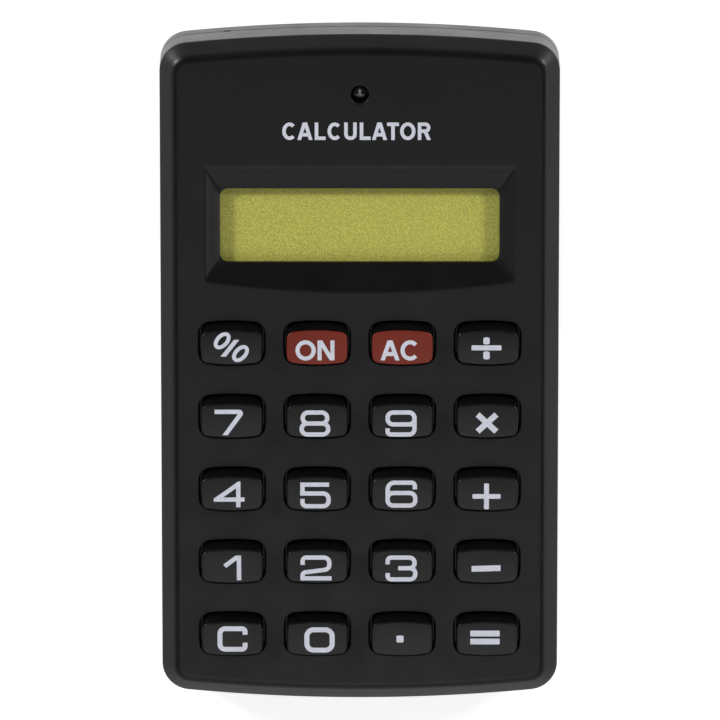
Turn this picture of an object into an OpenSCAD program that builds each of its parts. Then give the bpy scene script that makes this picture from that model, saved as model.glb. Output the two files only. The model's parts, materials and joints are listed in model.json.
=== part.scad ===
// Pocket calculator lying on its back: +X right, +Y toward the display end, +Z out of the face.
// The origin is at the middle of the back face. Everything is in millimetres.

/* [Case] */
// Width of the case across the keys
body_w = 58; // [56:1:64]
// Length of the case from end to end
body_l = 100; // [99:1:106]
// Height from the back face to the front face
body_h = 10; // [9.8:0.1:11]
// Radius of the bowed ends
end_r = 258; // [200:1:400]
// Radius of the four corners seen from above
corner_r = 4.2; // [3.6:0.1:6]
// Height of the joint between the two shells
split_z = 3.2; // [3:0.1:3.4]
// Thickness of the side walls
wall = 1.6; // [1.2:0.1:1.8]
// Thickness of the front face
face_t = 1.6; // [1.4:0.1:1.8]
// Thickness of the back floor
floor_t = 1.3; // [1.2:0.05:1.4]
// Width of the whole shoulder seen from above
shoulder_w = 2.8; // [2.4:0.1:2.9]
// Width of the shoulder's straight slope, before it rounds into the face
shoulder_flat = 1.6; // [1.2:0.1:1.8]
// Angle of the straight slope
shoulder_slope = 40; // [36:1:42]

/* [Display] */
// Width of the window
window_w = 40.6; // [36:0.1:41]
// Height of the window
window_l = 11; // [8:0.1:11.5]
// Middle of the window along the case
window_y = 21.7; // [21:0.1:22.5]
// Corner radius of the window
window_r = 1.2; // [0.6:0.1:2]
// Width of the sloped recess round the window
recess_w = 45; // [44:0.1:47]
// Upper edge of the recess
recess_top = 30.65; // [29:0.05:31.5]
// Lower edge of the recess at its ends
recess_foot = 13.55; // [12.5:0.05:14.5]
// How far the lower edge bows toward the keys
recess_bow = 1.65; // [0.5:0.05:2.2]
// Depth of the recess at the window
recess_d = 1.0; // [0.6:0.1:1]

/* [Keys] */
// Distance between key columns
pitch_x = 12.42; // [12.3:0.02:12.7]
// Distance between key rows
pitch_y = 11; // [10.8:0.02:11]
// Middle of the top row
first_row_y = 4.2; // [4:0.05:4.3]
// Width of a key's top
key_w = 8.8; // [7.8:0.1:8.9]
// Length of a key's top at its middle
key_l = 5.1; // [4.8:0.05:5.4]
// Width of a key opening
hole_w = 9.65; // [9.6:0.05:9.8]
// Length of a key opening at its middle
hole_l = 6.6; // [6.5:0.05:6.8]
// How far each key opening sits toward the display from the middle of its key top
hole_shift = 0.1; // [0:0.05:0.15]
// How far the long edges of a key bow outward
key_bow = 0.38; // [0.1:0.02:0.5]
// How far a key stands above the face
key_proud = 2.4; // [1.6:0.1:2.6]
// Gap between a key and its opening at the face
key_gap = 0.3; // [0.2:0.05:0.35]

/* [Inside] */
// Diameter of the button cell
cell_d = 11.6; // [11.4:0.1:11.6]
// Thickness of the button cell
cell_t = 3.05; // [2.9:0.05:3.05]
// Middle of the button cell along the case
cell_y = -36.2; // [-36.5:0.1:-36]
// Width of the battery door
door_w = 16; // [15.6:0.1:16.4]
// Inner edge of the battery door
door_head_y = -28.2; // [-28.4:0.1:-28]
// Underside of the circuit board
board_z = 4.9; // [4.9:0.01:4.95]
// Thickness of the circuit board
board_t = 1.0; // [0.9:0.05:1]

/* [Hidden] */
KEYS = [
    ["key_percent", 0, 0], ["key_on", 1, 0], ["key_all_clear", 2, 0], ["key_divide", 3, 0],
    ["key_7", 0, 1], ["key_8", 1, 1], ["key_9", 2, 1], ["key_multiply", 3, 1],
    ["key_4", 0, 2], ["key_5", 1, 2], ["key_6", 2, 2], ["key_plus", 3, 2],
    ["key_1", 0, 3], ["key_2", 1, 3], ["key_3", 2, 3], ["key_minus", 3, 3],
    ["key_clear", 0, 4], ["key_0", 1, 4], ["key_point", 2, 4], ["key_equals", 3, 4]
];
FIXED = [
    "front_case", "back_case", "battery_door", "display_lens", "lens_adhesive", "front_polarizer",
    "lcd_upper_glass", "lcd_lower_glass", "rear_reflector", "lcd_foam_pad", "zebra_connector",
    "circuit_board", "key_contacts", "chip_blob", "capacitors", "resistor", "rubber_keypad",
    "button_cell", "battery_contact_positive", "battery_contact_negative", "case_screw", "board_screws"
];

$fn = 48;
eps = 0.01;
skin = 0.02;
case_black = [0.045, 0.045, 0.05];
red_key = [0.49, 0.19, 0.15];
copper = [0.72, 0.45, 0.25];
steel = [0.7, 0.7, 0.72];

ceiling_z = body_h - face_t;
board_top = board_z + board_t;
lip_z = split_z + 1.2;
lip_t = 0.8;
lip_gap = 0.1;
back_round = 0.5;

// Display stack, from the window down to the board
rim_z = body_h - recess_d;
shoulder_r = (shoulder_w - shoulder_flat) / sin(shoulder_slope);
shoulder_h = shoulder_flat * tan(shoulder_slope) + (shoulder_w - shoulder_flat) * tan(shoulder_slope / 2);
lens_t = 0.8;
tape_t = 0.1;
lens_z = ceiling_z - tape_t - lens_t;
glass_w = 44.6;
upper_l = 16.4;
lower_l = 14;
glass_t = 0.55;
polar_t = 0.12;
polar_z = lens_z - 0.06 - polar_t;
upper_z = polar_z - glass_t;
lower_z = upper_z - glass_t;
reflector_t = 0.14;
reflector_z = lower_z - reflector_t;
tray_gap = 0.3;
tray_wall = 1.0;
lower_y = window_y - (upper_l - lower_l) / 2;

// Keys and their rubber mat
flange_w = hole_w + 0.65;
flange_l = hole_l + 0.65;
flange_t = 0.8;
flange_z = ceiling_z - 0.05 - flange_t;
key_top = body_h + key_proud;
mat_t = 0.5;
dome_z = flange_z - 0.05;
dome_r = 3.3;
pill_r = 1.5;
keypad_w = 50;
row_count = 5;
last_row_y = first_row_y - (row_count - 1) * pitch_y;

// Fastenings
boss_r = 1.5;
shank_r = 0.65;
pilot_r = 0.7;
head_r = 1.3;
head_t = 0.8;
boss_sites = concat(
    [for (x = [-1, 1], r = [0.5, 3.5]) [x * pitch_x, first_row_y - r * pitch_y]],
    [for (x = [-24, 24]) [x, 33.2]]
);
screw_y = 41.4;
case_head_r = 1.02;
case_head_t = 1.0;
case_hole_r = 1.35;
seat_z = body_h - 2;
spacer_r = 2.6;
post_r = 2.3;

// Battery bay and its door
door_z = 0.15;
door_t = 1.1;
tongue_w = 0.8;
tongue_t = 0.6;
door_gap = 0.25;
bay_z = 1.45;
bay_w = 20.4;
bay_top = 4.4;
bay_head_y = -28.6;
bay_foot_y = -43.6;
cell_z = 1.47;
well_r = cell_d / 2 + 0.2;

function col_x(c) = (c - 1.5) * pitch_x;
function row_y(r) = first_row_y - r * pitch_y;

// One quarter of the case outline, moved in by i: a corner arc, then half of the bowed end
corner_x = body_w / 2 - corner_r;
end_y = body_l / 2 - end_r;
corner_y = end_y + sqrt(pow(end_r - corner_r, 2) - pow(corner_x, 2));
corner_a = atan2(corner_y - end_y, corner_x);
corner_n = 8;
end_n = 6;
function quarter(i) = concat(
    [for (k = [0:corner_n]) let (a = corner_a * k / corner_n)
        [corner_x + (corner_r - i) * cos(a), corner_y + (corner_r - i) * sin(a)]],
    [for (k = [1:end_n]) let (a = corner_a + (90 - corner_a) * k / end_n)
        [(end_r - i) * cos(a), end_y + (end_r - i) * sin(a)]]
);
function backward(pts) = [for (k = [len(pts) - 1:-1:0]) pts[k]];
function mirror_x(pts) = [for (p = pts) [-p[0], p[1]]];
function outline(i) = let (q = quarter(i), top = concat(q, [for (p = backward(mirror_x(q))) if (p[0] < -eps) p]))
    concat(top, [for (p = top) [-p[0], -p[1]]]);

// A rounded rectangle whose long edges bow outward by bow and whose short edges bow by side
function barrel(w, l, r, bow, side) = let (
    straight = l - 2 * bow, narrow = w - 2 * side, n = 5,
    q = concat(
        [for (k = [0:n - 1]) [narrow / 2, (straight / 2 - r) * k / n]],
        [for (k = [0:n]) let (a = 90 * k / n) [narrow / 2 - r + r * cos(a), straight / 2 - r + r * sin(a)]],
        [for (k = [n - 1:-1:0]) [(narrow / 2 - r) * k / n, straight / 2]]
    ),
    half = concat(q, [for (p = backward(mirror_x(q))) if (p[0] < -eps) p]),
    all = concat(half, [for (k = [1:len(half) - 2]) [-half[k][0], -half[k][1]]])
) [for (p = all) [
    p[0] + sign(p[0]) * side * (1 - pow(2 * p[1] / straight, 2)),
    p[1] + sign(p[1]) * bow * (1 - pow(2 * p[0] / narrow, 2))
]];

module slab(points, z, t = skin) {
    translate([0, 0, z]) linear_extrude(t) polygon(points);
}

module box(x0, x1, y0, y1, z0, z1) {
    translate([x0, y0, z0]) cube([x1 - x0, y1 - y0, z1 - z0]);
}

// A plate of width w and length l about the middle [0, y]
module plate(w, l, y, z0, z1) {
    box(-w / 2, w / 2, y - l / 2, y + l / 2, z0, z1);
}

module at_keys() {
    for (k = KEYS) translate([col_x(k[1]), row_y(k[2]), 0]) children();
}

// Outside of the whole case: rounded back edge, straight wall and a sloped shoulder that rounds into the face
module case_outside() {
    hull() {
        slab(outline(back_round), 0);
        slab(outline(back_round * 0.3), back_round * 0.3);
        slab(outline(0), back_round);
        slab(outline(0), body_h - shoulder_h - skin);
        for (k = [0:3]) let (a = shoulder_slope * (1 - k / 3))
            slab(outline(shoulder_w - shoulder_r * sin(a)), body_h - shoulder_r * (1 - cos(a)) - skin);
    }
}

// Recess round the window: a bowed outline at the face that slopes in to the window's rim
module display_recess() {
    n = 12;
    foot = [for (k = [0:n]) let (t = 2 * k / n - 1) [t * recess_w / 2, recess_foot - recess_bow * (1 - t * t)]];
    outer = concat(foot, [[recess_w / 2, recess_top], [-recess_w / 2, recess_top]]);
    hull() {
        slab(outer, body_h);
        translate([0, window_y, rim_z]) linear_extrude(skin) polygon(barrel(window_w, window_l, window_r, 0, 0));
    }
}

module screw_sites() {
    for (p = boss_sites) translate([p[0], p[1], 0]) children();
}

module front_case() {
    color(case_black) difference() {
        union() {
            difference() {
                case_outside();
                box(-body_w, body_w, -body_l, body_l, -1, split_z);
                slab(outline(wall), split_z - 1, ceiling_z - split_z + 1);
            }
            // posts for the board screws, and the tray that the display sits in
            screw_sites() translate([0, 0, board_top + 0.02]) cylinder(h = ceiling_z - board_top + eps, r = boss_r);
            difference() {
                plate(glass_w + 2 * (tray_gap + tray_wall), upper_l + 2 * (tray_gap + tray_wall), window_y,
                    board_top + 0.02, ceiling_z + eps);
                plate(glass_w + 2 * tray_gap, upper_l + 2 * tray_gap, window_y, board_top - 1, ceiling_z);
            }
            // spacer tube round the case screw
            translate([0, screw_y, bay_top + 0.1]) cylinder(h = ceiling_z - bay_top, r = spacer_r);
        }
        at_keys() translate([0, hole_shift, 0])
            slab(barrel(hole_w, hole_l, 1.4, key_bow, 0.1), ceiling_z - 0.5, face_t + 1);
        display_recess();
        translate([0, window_y, 0]) slab(barrel(window_w, window_l, window_r, 0, 0), ceiling_z - 0.5, face_t);
        screw_sites() translate([0, 0, board_top - 1]) cylinder(h = 2.9, r = pilot_r);
        translate([0, screw_y, seat_z]) cylinder(h = 3, r = case_hole_r);
        translate([0, screw_y, bay_top - 1]) cylinder(h = seat_z - bay_top + 2, r = 0.85);
        // grooves that the hooks of the back shell snap into
        for (x = [-15, 15])
            box(x - 2.4, x + 2.4, -body_l / 2 + wall - 0.1, -body_l / 2 + wall + 2.2, lip_z - 0.65, lip_z + 0.15);
    }
}

module back_case() {
    lip_in = wall + lip_gap;
    color(case_black) difference() {
        union() {
            difference() {
                case_outside();
                box(-body_w, body_w, -body_l, body_l, split_z, body_h + 1);
                slab(outline(lip_in + lip_t), floor_t, split_z);
            }
            // lip that stands inside the front shell
            difference() {
                slab(outline(lip_in), split_z - 0.5, lip_z - split_z + 0.5);
                slab(outline(lip_in + lip_t), floor_t, lip_z);
            }
            for (x = [-15, 15])
                box(x - 2, x + 2, -body_l / 2 + wall + 0.05, -body_l / 2 + wall + 2, lip_z - 0.5, lip_z);
            // post for the case screw
            translate([0, screw_y, floor_t - eps]) cylinder(h = bay_top - floor_t, r = post_r);
            // block round the cell, with the rails over the door's tongues
            box(-bay_w / 2, bay_w / 2, bay_foot_y, bay_head_y, floor_t - eps, bay_top);
            for (x = [-1, 1])
                translate([x * (door_w / 2 + tongue_w + 0.3), 0, 0])
                    box(-1.2, 1.2, -body_l / 2 + 2, bay_foot_y + 1, floor_t - eps, 2.4);
            // stiffening ribs on the floor
            for (x = [-18, 18]) box(x - 0.5, x + 0.5, -20, 34, floor_t - eps, 2.6);
            for (y = [-18, 4, 26]) box(-22, 22, y - 0.5, y + 0.5, floor_t - eps, 2.6);
        }
        // opening for the door, its grooves and the tab at its inner edge
        box(-door_w / 2 - door_gap, door_w / 2 + door_gap, -body_l, door_head_y + door_gap, -1, bay_z);
        box(-door_w / 2 - tongue_w - door_gap, door_w / 2 + tongue_w + door_gap, -body_l,
            door_head_y + door_gap, door_z + door_t - tongue_t - 0.05, bay_z);
        box(-4.3, 4.3, door_head_y - 1, door_head_y + 1.5, door_z + door_t - tongue_t - 0.05, bay_z + 0.2);
        // well for the cell, and slots for its contacts
        translate([0, cell_y, bay_z - 1]) cylinder(h = bay_top, r = well_r);
        box(-1.8, 1.8, cell_y, cell_y + well_r + 0.7, bay_z + 0.4, bay_top + 1);
        translate([0, screw_y, floor_t + 0.3]) cylinder(h = bay_top, r = pilot_r);
    }
}

module battery_door() {
    flat = door_z + door_t;
    color(case_black) difference() {
        intersection() {
            union() {
                box(-door_w / 2, door_w / 2, -body_l, door_head_y, door_z, flat);
                box(-door_w / 2 - tongue_w, door_w / 2 + tongue_w, -body_l, door_head_y, flat - tongue_t, flat);
                box(-4, 4, door_head_y - 1, door_head_y + 1.2, flat - tongue_t, flat);
            }
            slab(outline(0.05), 0, 3);
        }
        // chamfer that carries on the rounded back edge, thumb grooves and an arrow
        translate([0, -body_l / 2 + 0.05, door_z]) rotate([45, 0, 0]) cube([30, 0.45, 0.45], center = true);
        for (k = [0:4]) box(-4.5, 4.5, -46 + 1.3 * k, -45.4 + 1.3 * k, -1, door_z + 0.35);
        translate([0, -37.4, -1]) linear_extrude(door_z + 1.3) polygon([[-2, 1.6], [2, 1.6], [0, -1.2]]);
    }
}

module display_lens() {
    color([0.85, 0.9, 0.9, 0.3]) plate(glass_w, upper_l, window_y, lens_z, lens_z + lens_t);
}

module lens_adhesive() {
    color("white") difference() {
        plate(glass_w, upper_l, window_y, lens_z + lens_t, ceiling_z);
        plate(window_w + 0.6, window_l + 0.6, window_y, lens_z, ceiling_z + 1);
    }
}

module front_polarizer() {
    color([0.7, 0.69, 0.36]) plate(glass_w - 1, upper_l - 1, window_y, polar_z, polar_z + polar_t);
}

module lcd_upper_glass() {
    color([0.8, 0.85, 0.8, 0.4]) plate(glass_w, upper_l, window_y, upper_z, upper_z + glass_t);
}

module lcd_lower_glass() {
    color([0.8, 0.85, 0.8, 0.4]) plate(glass_w, lower_l, lower_y, lower_z, lower_z + glass_t);
}

module rear_reflector() {
    color([0.69, 0.67, 0.35]) plate(glass_w - 1, lower_l - 1, lower_y, reflector_z, lower_z);
}

module lcd_foam_pad() {
    color("dimgray") plate(glass_w - 6, lower_l - 4, lower_y, board_top, reflector_z);
}

// Rubber strip under the ledge of the upper glass
module zebra_connector() {
    ledge_y = lower_y + lower_l / 2;
    color("lightgray") box(-20, 20, ledge_y + 0.5, ledge_y + 2.1, board_top, upper_z);
}

module circuit_board() {
    head_y = 35.4;
    foot_y = last_row_y - 3.9;
    color([0.45, 0.3, 0.12]) difference() {
        box(-25.6, 25.6, foot_y, head_y, board_z, board_top);
        screw_sites() translate([0, 0, board_z - 1]) cylinder(h = board_t + 2, r = 0.9);
        for (x = [-1, 1]) translate([x * 25.6, first_row_y - 2.5 * pitch_y, board_z - 1])
            cylinder(h = board_t + 2, r = 1.2);
    }
}

// Two half-round carbon pads under every key
module key_contacts() {
    color("black") at_keys() difference() {
        translate([0, 0, board_top]) cylinder(h = 0.03, r = 2);
        box(-0.15, 0.15, -3, 3, board_top - 1, board_top + 1);
    }
}

module chip_blob() {
    color([0.1, 0.1, 0.1]) translate([-8, 8, 0]) {
        translate([0, 0, board_z - 0.7]) cylinder(h = 0.7, r1 = 3.9, r2 = 4.4);
        translate([0, 0, board_z - 1.1]) cylinder(h = 0.41, r1 = 2.4, r2 = 3.9);
    }
}

module capacitors() {
    color([0.75, 0.6, 0.4]) for (y = [9, 13]) box(8, 10, y, y + 1.25, board_z - 0.8, board_z);
}

module resistor() {
    color([0.15, 0.15, 0.15]) box(13, 15, 11, 12.25, board_z - 0.5, board_z);
}

// One mat with a hollow dome and a moulded carbon pill under every key
module rubber_keypad() {
    sheet_top = board_top + mat_t;
    color([0.6, 0.6, 0.58]) {
        difference() {
            union() {
                box(-keypad_w / 2, keypad_w / 2, last_row_y - 3.7, first_row_y + 4.2, board_top, sheet_top);
                at_keys() translate([0, 0, board_top]) cylinder(h = dome_z - board_top, r1 = dome_r, r2 = 2.3);
            }
            at_keys() translate([0, 0, board_top - eps]) cylinder(h = dome_z - 0.35 - board_top, r1 = 2.8, r2 = 1.8);
            screw_sites() translate([0, 0, board_top - 1]) cylinder(h = mat_t + 2, r = boss_r + 0.3);
        }
        at_keys() translate([0, 0, dome_z - 0.6]) cylinder(h = 0.3, r = pill_r);
    }
}

module button_cell() {
    color(steel) translate([0, cell_y, cell_z]) {
        cylinder(h = cell_t - 0.35, r = cell_d / 2);
        cylinder(h = cell_t, r = cell_d / 2 - 1.2);
    }
}

// Spring strip that presses on the rim of the cell
module battery_contact_positive() {
    y = cell_y + cell_d / 2;
    color(copper) {
        box(-1.5, 1.5, y + 0.02, y + 0.22, bay_z + 0.7, board_z);
        box(-1.5, 1.5, y + 0.02, y + 2.6, board_z - 0.2, board_z);
    }
}

// Spring strip between the board and the cell's cap
module battery_contact_negative() {
    top = cell_z + cell_t;
    color(copper) {
        box(-1.5, 1.5, cell_y - 3.5, cell_y + 2, top + 0.02, top + 0.2);
        box(-1.5, 1.5, cell_y - 3.5, cell_y - 2, top + 0.02, board_z);
    }
}

// Pan head with a cross recess on a plain shank; the thread form is left out
module cross_screw(head_z, shank_end, r_head, t_head, r_shank, up) {
    translate([0, 0, head_z]) mirror([0, 0, up ? 0 : 1]) difference() {
        union() {
            cylinder(h = t_head, r = r_head);
            translate([0, 0, -abs(head_z - shank_end)]) cylinder(h = abs(head_z - shank_end) + eps, r = r_shank);
        }
        for (a = [0, 90]) rotate(a) box(-r_head * 0.6, r_head * 0.6, -0.14, 0.14, t_head * 0.4, t_head + 1);
    }
}

module case_screw() {
    color(steel) translate([0, screw_y, 0]) cross_screw(seat_z, 2.2, case_head_r, case_head_t, shank_r, true);
}

module board_screws() {
    color(steel) screw_sites() cross_screw(board_z, board_top + 1.6, head_r, head_t, shank_r, false);
}

// Key cap: a flange that stops under the face, a neck and a drafted top with a broken edge
module key_cap(c, r) {
    neck_w = hole_w - 2 * key_gap;
    neck_l = hole_l - 2 * key_gap;
    draft_z = body_h - 0.2;
    color(r == 0 && (c == 1 || c == 2) ? red_key : case_black) translate([col_x(c), row_y(r), 0]) {
        translate([0, hole_shift, 0]) {
            slab(barrel(flange_w, flange_l, 1.2, key_bow, 0.1), flange_z, flange_t);
            slab(barrel(neck_w, neck_l, 1.2, key_bow, 0.1), flange_z, draft_z - flange_z);
        }
        hull() {
            translate([0, hole_shift, 0]) slab(barrel(neck_w, neck_l, 1.2, key_bow, 0.1), draft_z - skin);
            slab(barrel(key_w, key_l, 0.7, key_bow, 0.06), key_top - 0.15);
            slab(barrel(key_w - 0.2, key_l - 0.2, 0.6, key_bow, 0.06), key_top - skin);
        }
    }
}

front_case();
back_case();
battery_door();
display_lens();
lens_adhesive();
front_polarizer();
lcd_upper_glass();
lcd_lower_glass();
rear_reflector();
lcd_foam_pad();
zebra_connector();
circuit_board();
key_contacts();
chip_blob();
capacitors();
resistor();
rubber_keypad();
button_cell();
battery_contact_positive();
battery_contact_negative();
case_screw();
board_screws();
for (k = KEYS) key_cap(k[1], k[2]);
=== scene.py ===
import json
import math

import bmesh
import bpy
from bpy.props import FloatProperty, FloatVectorProperty, PointerProperty
from bpy.types import Operator, Panel, PropertyGroup
from mathutils import Matrix, Vector, geometry


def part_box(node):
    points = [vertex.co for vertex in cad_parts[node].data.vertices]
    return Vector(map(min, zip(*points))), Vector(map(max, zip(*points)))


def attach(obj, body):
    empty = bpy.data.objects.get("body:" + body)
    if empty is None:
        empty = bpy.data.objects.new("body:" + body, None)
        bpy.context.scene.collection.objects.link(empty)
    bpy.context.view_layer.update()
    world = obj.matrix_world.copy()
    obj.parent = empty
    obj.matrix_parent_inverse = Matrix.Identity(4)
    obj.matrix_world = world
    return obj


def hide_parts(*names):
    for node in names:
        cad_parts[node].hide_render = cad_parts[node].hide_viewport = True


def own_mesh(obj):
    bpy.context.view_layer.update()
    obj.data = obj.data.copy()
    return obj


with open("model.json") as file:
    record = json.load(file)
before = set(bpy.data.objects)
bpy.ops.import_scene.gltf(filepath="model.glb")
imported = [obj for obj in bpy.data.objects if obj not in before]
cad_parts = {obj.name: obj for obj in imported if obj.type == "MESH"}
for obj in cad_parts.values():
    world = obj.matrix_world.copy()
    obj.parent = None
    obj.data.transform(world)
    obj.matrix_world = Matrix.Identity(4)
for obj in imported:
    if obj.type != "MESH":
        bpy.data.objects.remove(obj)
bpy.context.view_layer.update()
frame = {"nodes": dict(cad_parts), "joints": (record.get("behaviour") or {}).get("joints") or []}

bl_info = {
    "name": "Pocket calculator",
    "version": (1, 0, 0),
    "blender": (4, 5, 0),
    "location": "View3D > Sidebar > Calculator",
    "description": "Moulded shells, printed keys, display and battery bay, built round a fixed frame",
    "category": "Add Mesh",
}

MM = 0.001
CASE = "case"
DOOR = "battery_door"
# Points closer than this are taken as one
MATCH = MM * 0.001

# Lengths that several pieces share
SCREW_HEAD = 1.0 * MM
SCREW_BORE = 0.7 * MM
TONGUE_REACH = 0.8 * MM
DOOR_END = -28.2 * MM
DOOR_GAP = 0.25 * MM
# The cut of a tool runs this far past the surface that it opens
PAST = MM

# Key node and printed legend
KEY_ROWS = (
    (("key_percent", "percent"), ("key_on", "ON"), ("key_all_clear", "AC"), ("key_divide", "divide")),
    (("key_7", "7"), ("key_8", "8"), ("key_9", "9"), ("key_multiply", "times")),
    (("key_4", "4"), ("key_5", "5"), ("key_6", "6"), ("key_plus", "plus")),
    (("key_1", "1"), ("key_2", "2"), ("key_3", "3"), ("key_minus", "minus")),
    (("key_clear", "clear"), ("key_0", "0"), ("key_point", "point"), ("key_equals", "equals")),
)
KEYS = [pair for row in KEY_ROWS for pair in row]
RED_KEYS = ("key_on", "key_all_clear")


def length(name, text, default_mm):
    """A size that is given in millimetres and kept in metres."""
    return FloatProperty(
        name=name, description=text, default=default_mm * MM, min=0.0, unit="LENGTH", precision=5)


def colour(name, text, default):
    """A linear colour."""
    return FloatVectorProperty(
        name=name, description=text, default=default, min=0.0, max=1.0, subtype="COLOR")


class CaseSizes(PropertyGroup):
    corner_radius: length("Corner radius", "Radius of the case's corners seen from above", 4.2)
    end_radius: length("End radius", "Radius of the bowed ends", 258.0)
    shoulder_width: length("Shoulder width", "Width of the whole shoulder seen from above", 2.8)
    shoulder_flat: length("Slope width", "Width of the straight slope before it rounds into the face", 1.6)
    shoulder_slope: FloatProperty(
        name="Shoulder slope", description="Angle of the straight slope",
        default=math.radians(40), subtype="ANGLE")
    wall: length("Wall", "Thickness of the side walls", 1.6)
    face_thickness: length("Face", "Thickness of the front face", 1.6)
    floor_thickness: length("Floor", "Thickness of the back floor", 1.3)
    back_round: length("Back edge", "Radius of the back edge", 0.5)
    lip_height: length("Lip height", "Height of the back shell's lip above the parting line", 1.2)
    lip_thickness: length("Lip thickness", "Thickness of the back shell's lip", 0.8)
    lip_gap: length("Lip gap", "Gap between the lip and the front shell", 0.1)
    parting_groove: length("Parting groove", "Rounding of each shell at the parting line", 0.16)
    parting_gap: length("Parting gap", "Gap between the shells at the parting line", 0.06)
    hole_round: length("Opening edge", "Radius of the edge of each key opening", 0.14)


class DisplaySizes(PropertyGroup):
    window_width: length("Window width", "Width of the display window", 40.6)
    window_length: length("Window length", "Height of the display window", 11.0)
    window_y: length("Window middle", "Middle of the window along the case", 21.7)
    window_radius: length("Window corner", "Corner radius of the window", 1.2)
    recess_width: length("Recess width", "Width of the sloped recess", 45.0)
    recess_top: length("Recess top", "Upper edge of the recess along the case", 30.65)
    recess_foot: length("Recess foot", "Lower edge of the recess at its ends", 13.55)
    recess_bow: length("Recess bow", "How far the lower edge bows toward the keys", 1.65)
    recess_depth: length("Recess depth", "Depth of the recess at the window", 1.0)


class KeySizes(PropertyGroup):
    top_width: length("Key width", "Width of a key's top", 8.8)
    top_length: length("Key length", "Length of a key's top at its middle", 5.1)
    hole_width: length("Opening width", "Width of a key opening", 9.65)
    hole_length: length("Opening length", "Length of a key opening at its middle", 6.6)
    shift: length("Shift", "How far each opening sits toward the display from its key top", 0.1)
    bow: length("Bow", "How far the long edges bow outward", 0.38)
    gap: length("Gap", "Gap between a key and its opening", 0.3)
    flange_thickness: length("Flange", "Thickness of the flange under the face", 0.8)
    edge_round: length("Edge", "Radius of a key's upper edge", 0.14)
    crown: length("Crown", "Height of the key top's crown", 0.04)


class Finishes(PropertyGroup):
    case_black: colour("Case", "Moulded case plastic", (0.0042, 0.0042, 0.0042))
    key_black: colour("Keys", "Moulded key plastic", (0.0042, 0.0042, 0.0042))
    key_red: colour("Red keys", "Brick red key plastic", (0.200, 0.0205, 0.0083))
    print_white: colour("Print", "Screen-printed ink", (0.78, 0.80, 0.90))
    display_film: colour("Display", "Yellow-green display film", (0.72, 0.68, 0.127))


class StageSizes(PropertyGroup):
    tilt: FloatProperty(
        name="Camera tilt", description="Camera's lean toward the display end",
        default=math.radians(14.57), subtype="ANGLE")
    distance: FloatProperty(
        name="Camera distance", description="Camera's distance from the case", default=1.44, unit="LENGTH")
    lens: FloatProperty(name="Lens", description="Focal length in millimetres", default=492.5)
    aim_height: length("Aim height", "Height of the point that the camera looks at", 5.0)
    shift_x: FloatProperty(name="Shift X", description="Sideways shift of the camera", default=0.0004)
    shift_y: FloatProperty(name="Shift Y", description="Upward shift of the camera", default=0.00417)


SETTINGS = (CaseSizes, DisplaySizes, KeySizes, Finishes, StageSizes)
SETTING_NAMES = ("calc_case", "calc_display", "calc_keys", "calc_finishes", "calc_stage")


# ---- Sizes that come from the frame


def middle(node):
    low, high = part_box(node)
    return (low + high) / 2


def key_middle(node):
    """Middle of a key's top, which sits a little nearer the foot than its opening."""
    return middle(node) - Vector((0.0, bpy.context.scene.calc_keys.shift, 0.0))


def case_half():
    """Half the width and half the length of the case."""
    low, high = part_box("front_case")
    return high.x, high.y


# ---- Outlines, as lists of (x, y)


def case_outline(case, inset):
    """Outline of the case moved in by inset: four round corners and two bowed ends."""
    half_w, half_l = case_half()
    radius = case.corner_radius
    end = case.end_radius
    end_y = half_l - end
    corner_x = half_w - radius
    corner_y = end_y + math.sqrt((end - radius) ** 2 - corner_x ** 2)
    turn = math.atan2(corner_y - end_y, corner_x)
    corner_steps, end_steps, side_steps = 16, 24, 12
    points = [(half_w - inset, corner_y * k / side_steps) for k in range(side_steps)]
    for k in range(corner_steps + 1):
        a = turn * k / corner_steps
        reach = radius - inset
        points.append((corner_x + reach * math.cos(a), corner_y + reach * math.sin(a)))
    for k in range(1, end_steps):
        a = turn + (math.pi / 2 - turn) * k / end_steps
        points.append(((end - inset) * math.cos(a), end_y + (end - inset) * math.sin(a)))
    points.append((0.0, half_l - inset))
    return four_quarters(points)


def four_quarters(quarter):
    """A closed outline from its first quarter, which runs from the X axis to the Y axis."""
    left = [(-x, y) for x, y in reversed(quarter[:-1])]
    top = quarter + left
    return top + [(-x, -y) for x, y in top[1:-1]]


def barrel(width, length_, radius, bow, side, inset=0.0):
    """A rounded rectangle whose long edges bow outward by bow and whose short edges bow by side."""
    straight = length_ - 2 * bow - 2 * inset
    narrow = width - 2 * side - 2 * inset
    radius = max(radius - inset, 0.05 * MM)
    side_steps, corner_steps, long_steps = 5, 8, 8
    quarter = [(narrow / 2, (straight / 2 - radius) * k / side_steps) for k in range(side_steps)]
    for k in range(corner_steps + 1):
        a = math.pi / 2 * k / corner_steps
        quarter.append((
            narrow / 2 - radius + radius * math.cos(a), straight / 2 - radius + radius * math.sin(a)))
    for k in range(long_steps - 1, -1, -1):
        quarter.append(((narrow / 2 - radius) * k / long_steps, straight / 2))
    points = []
    for x, y in four_quarters(quarter):
        across = side * (1 - (2 * y / straight) ** 2)
        along = bow * (1 - (2 * x / narrow) ** 2)
        points.append((x + math.copysign(across, x) * (x != 0), y + math.copysign(along, y) * (y != 0)))
    return points


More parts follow.
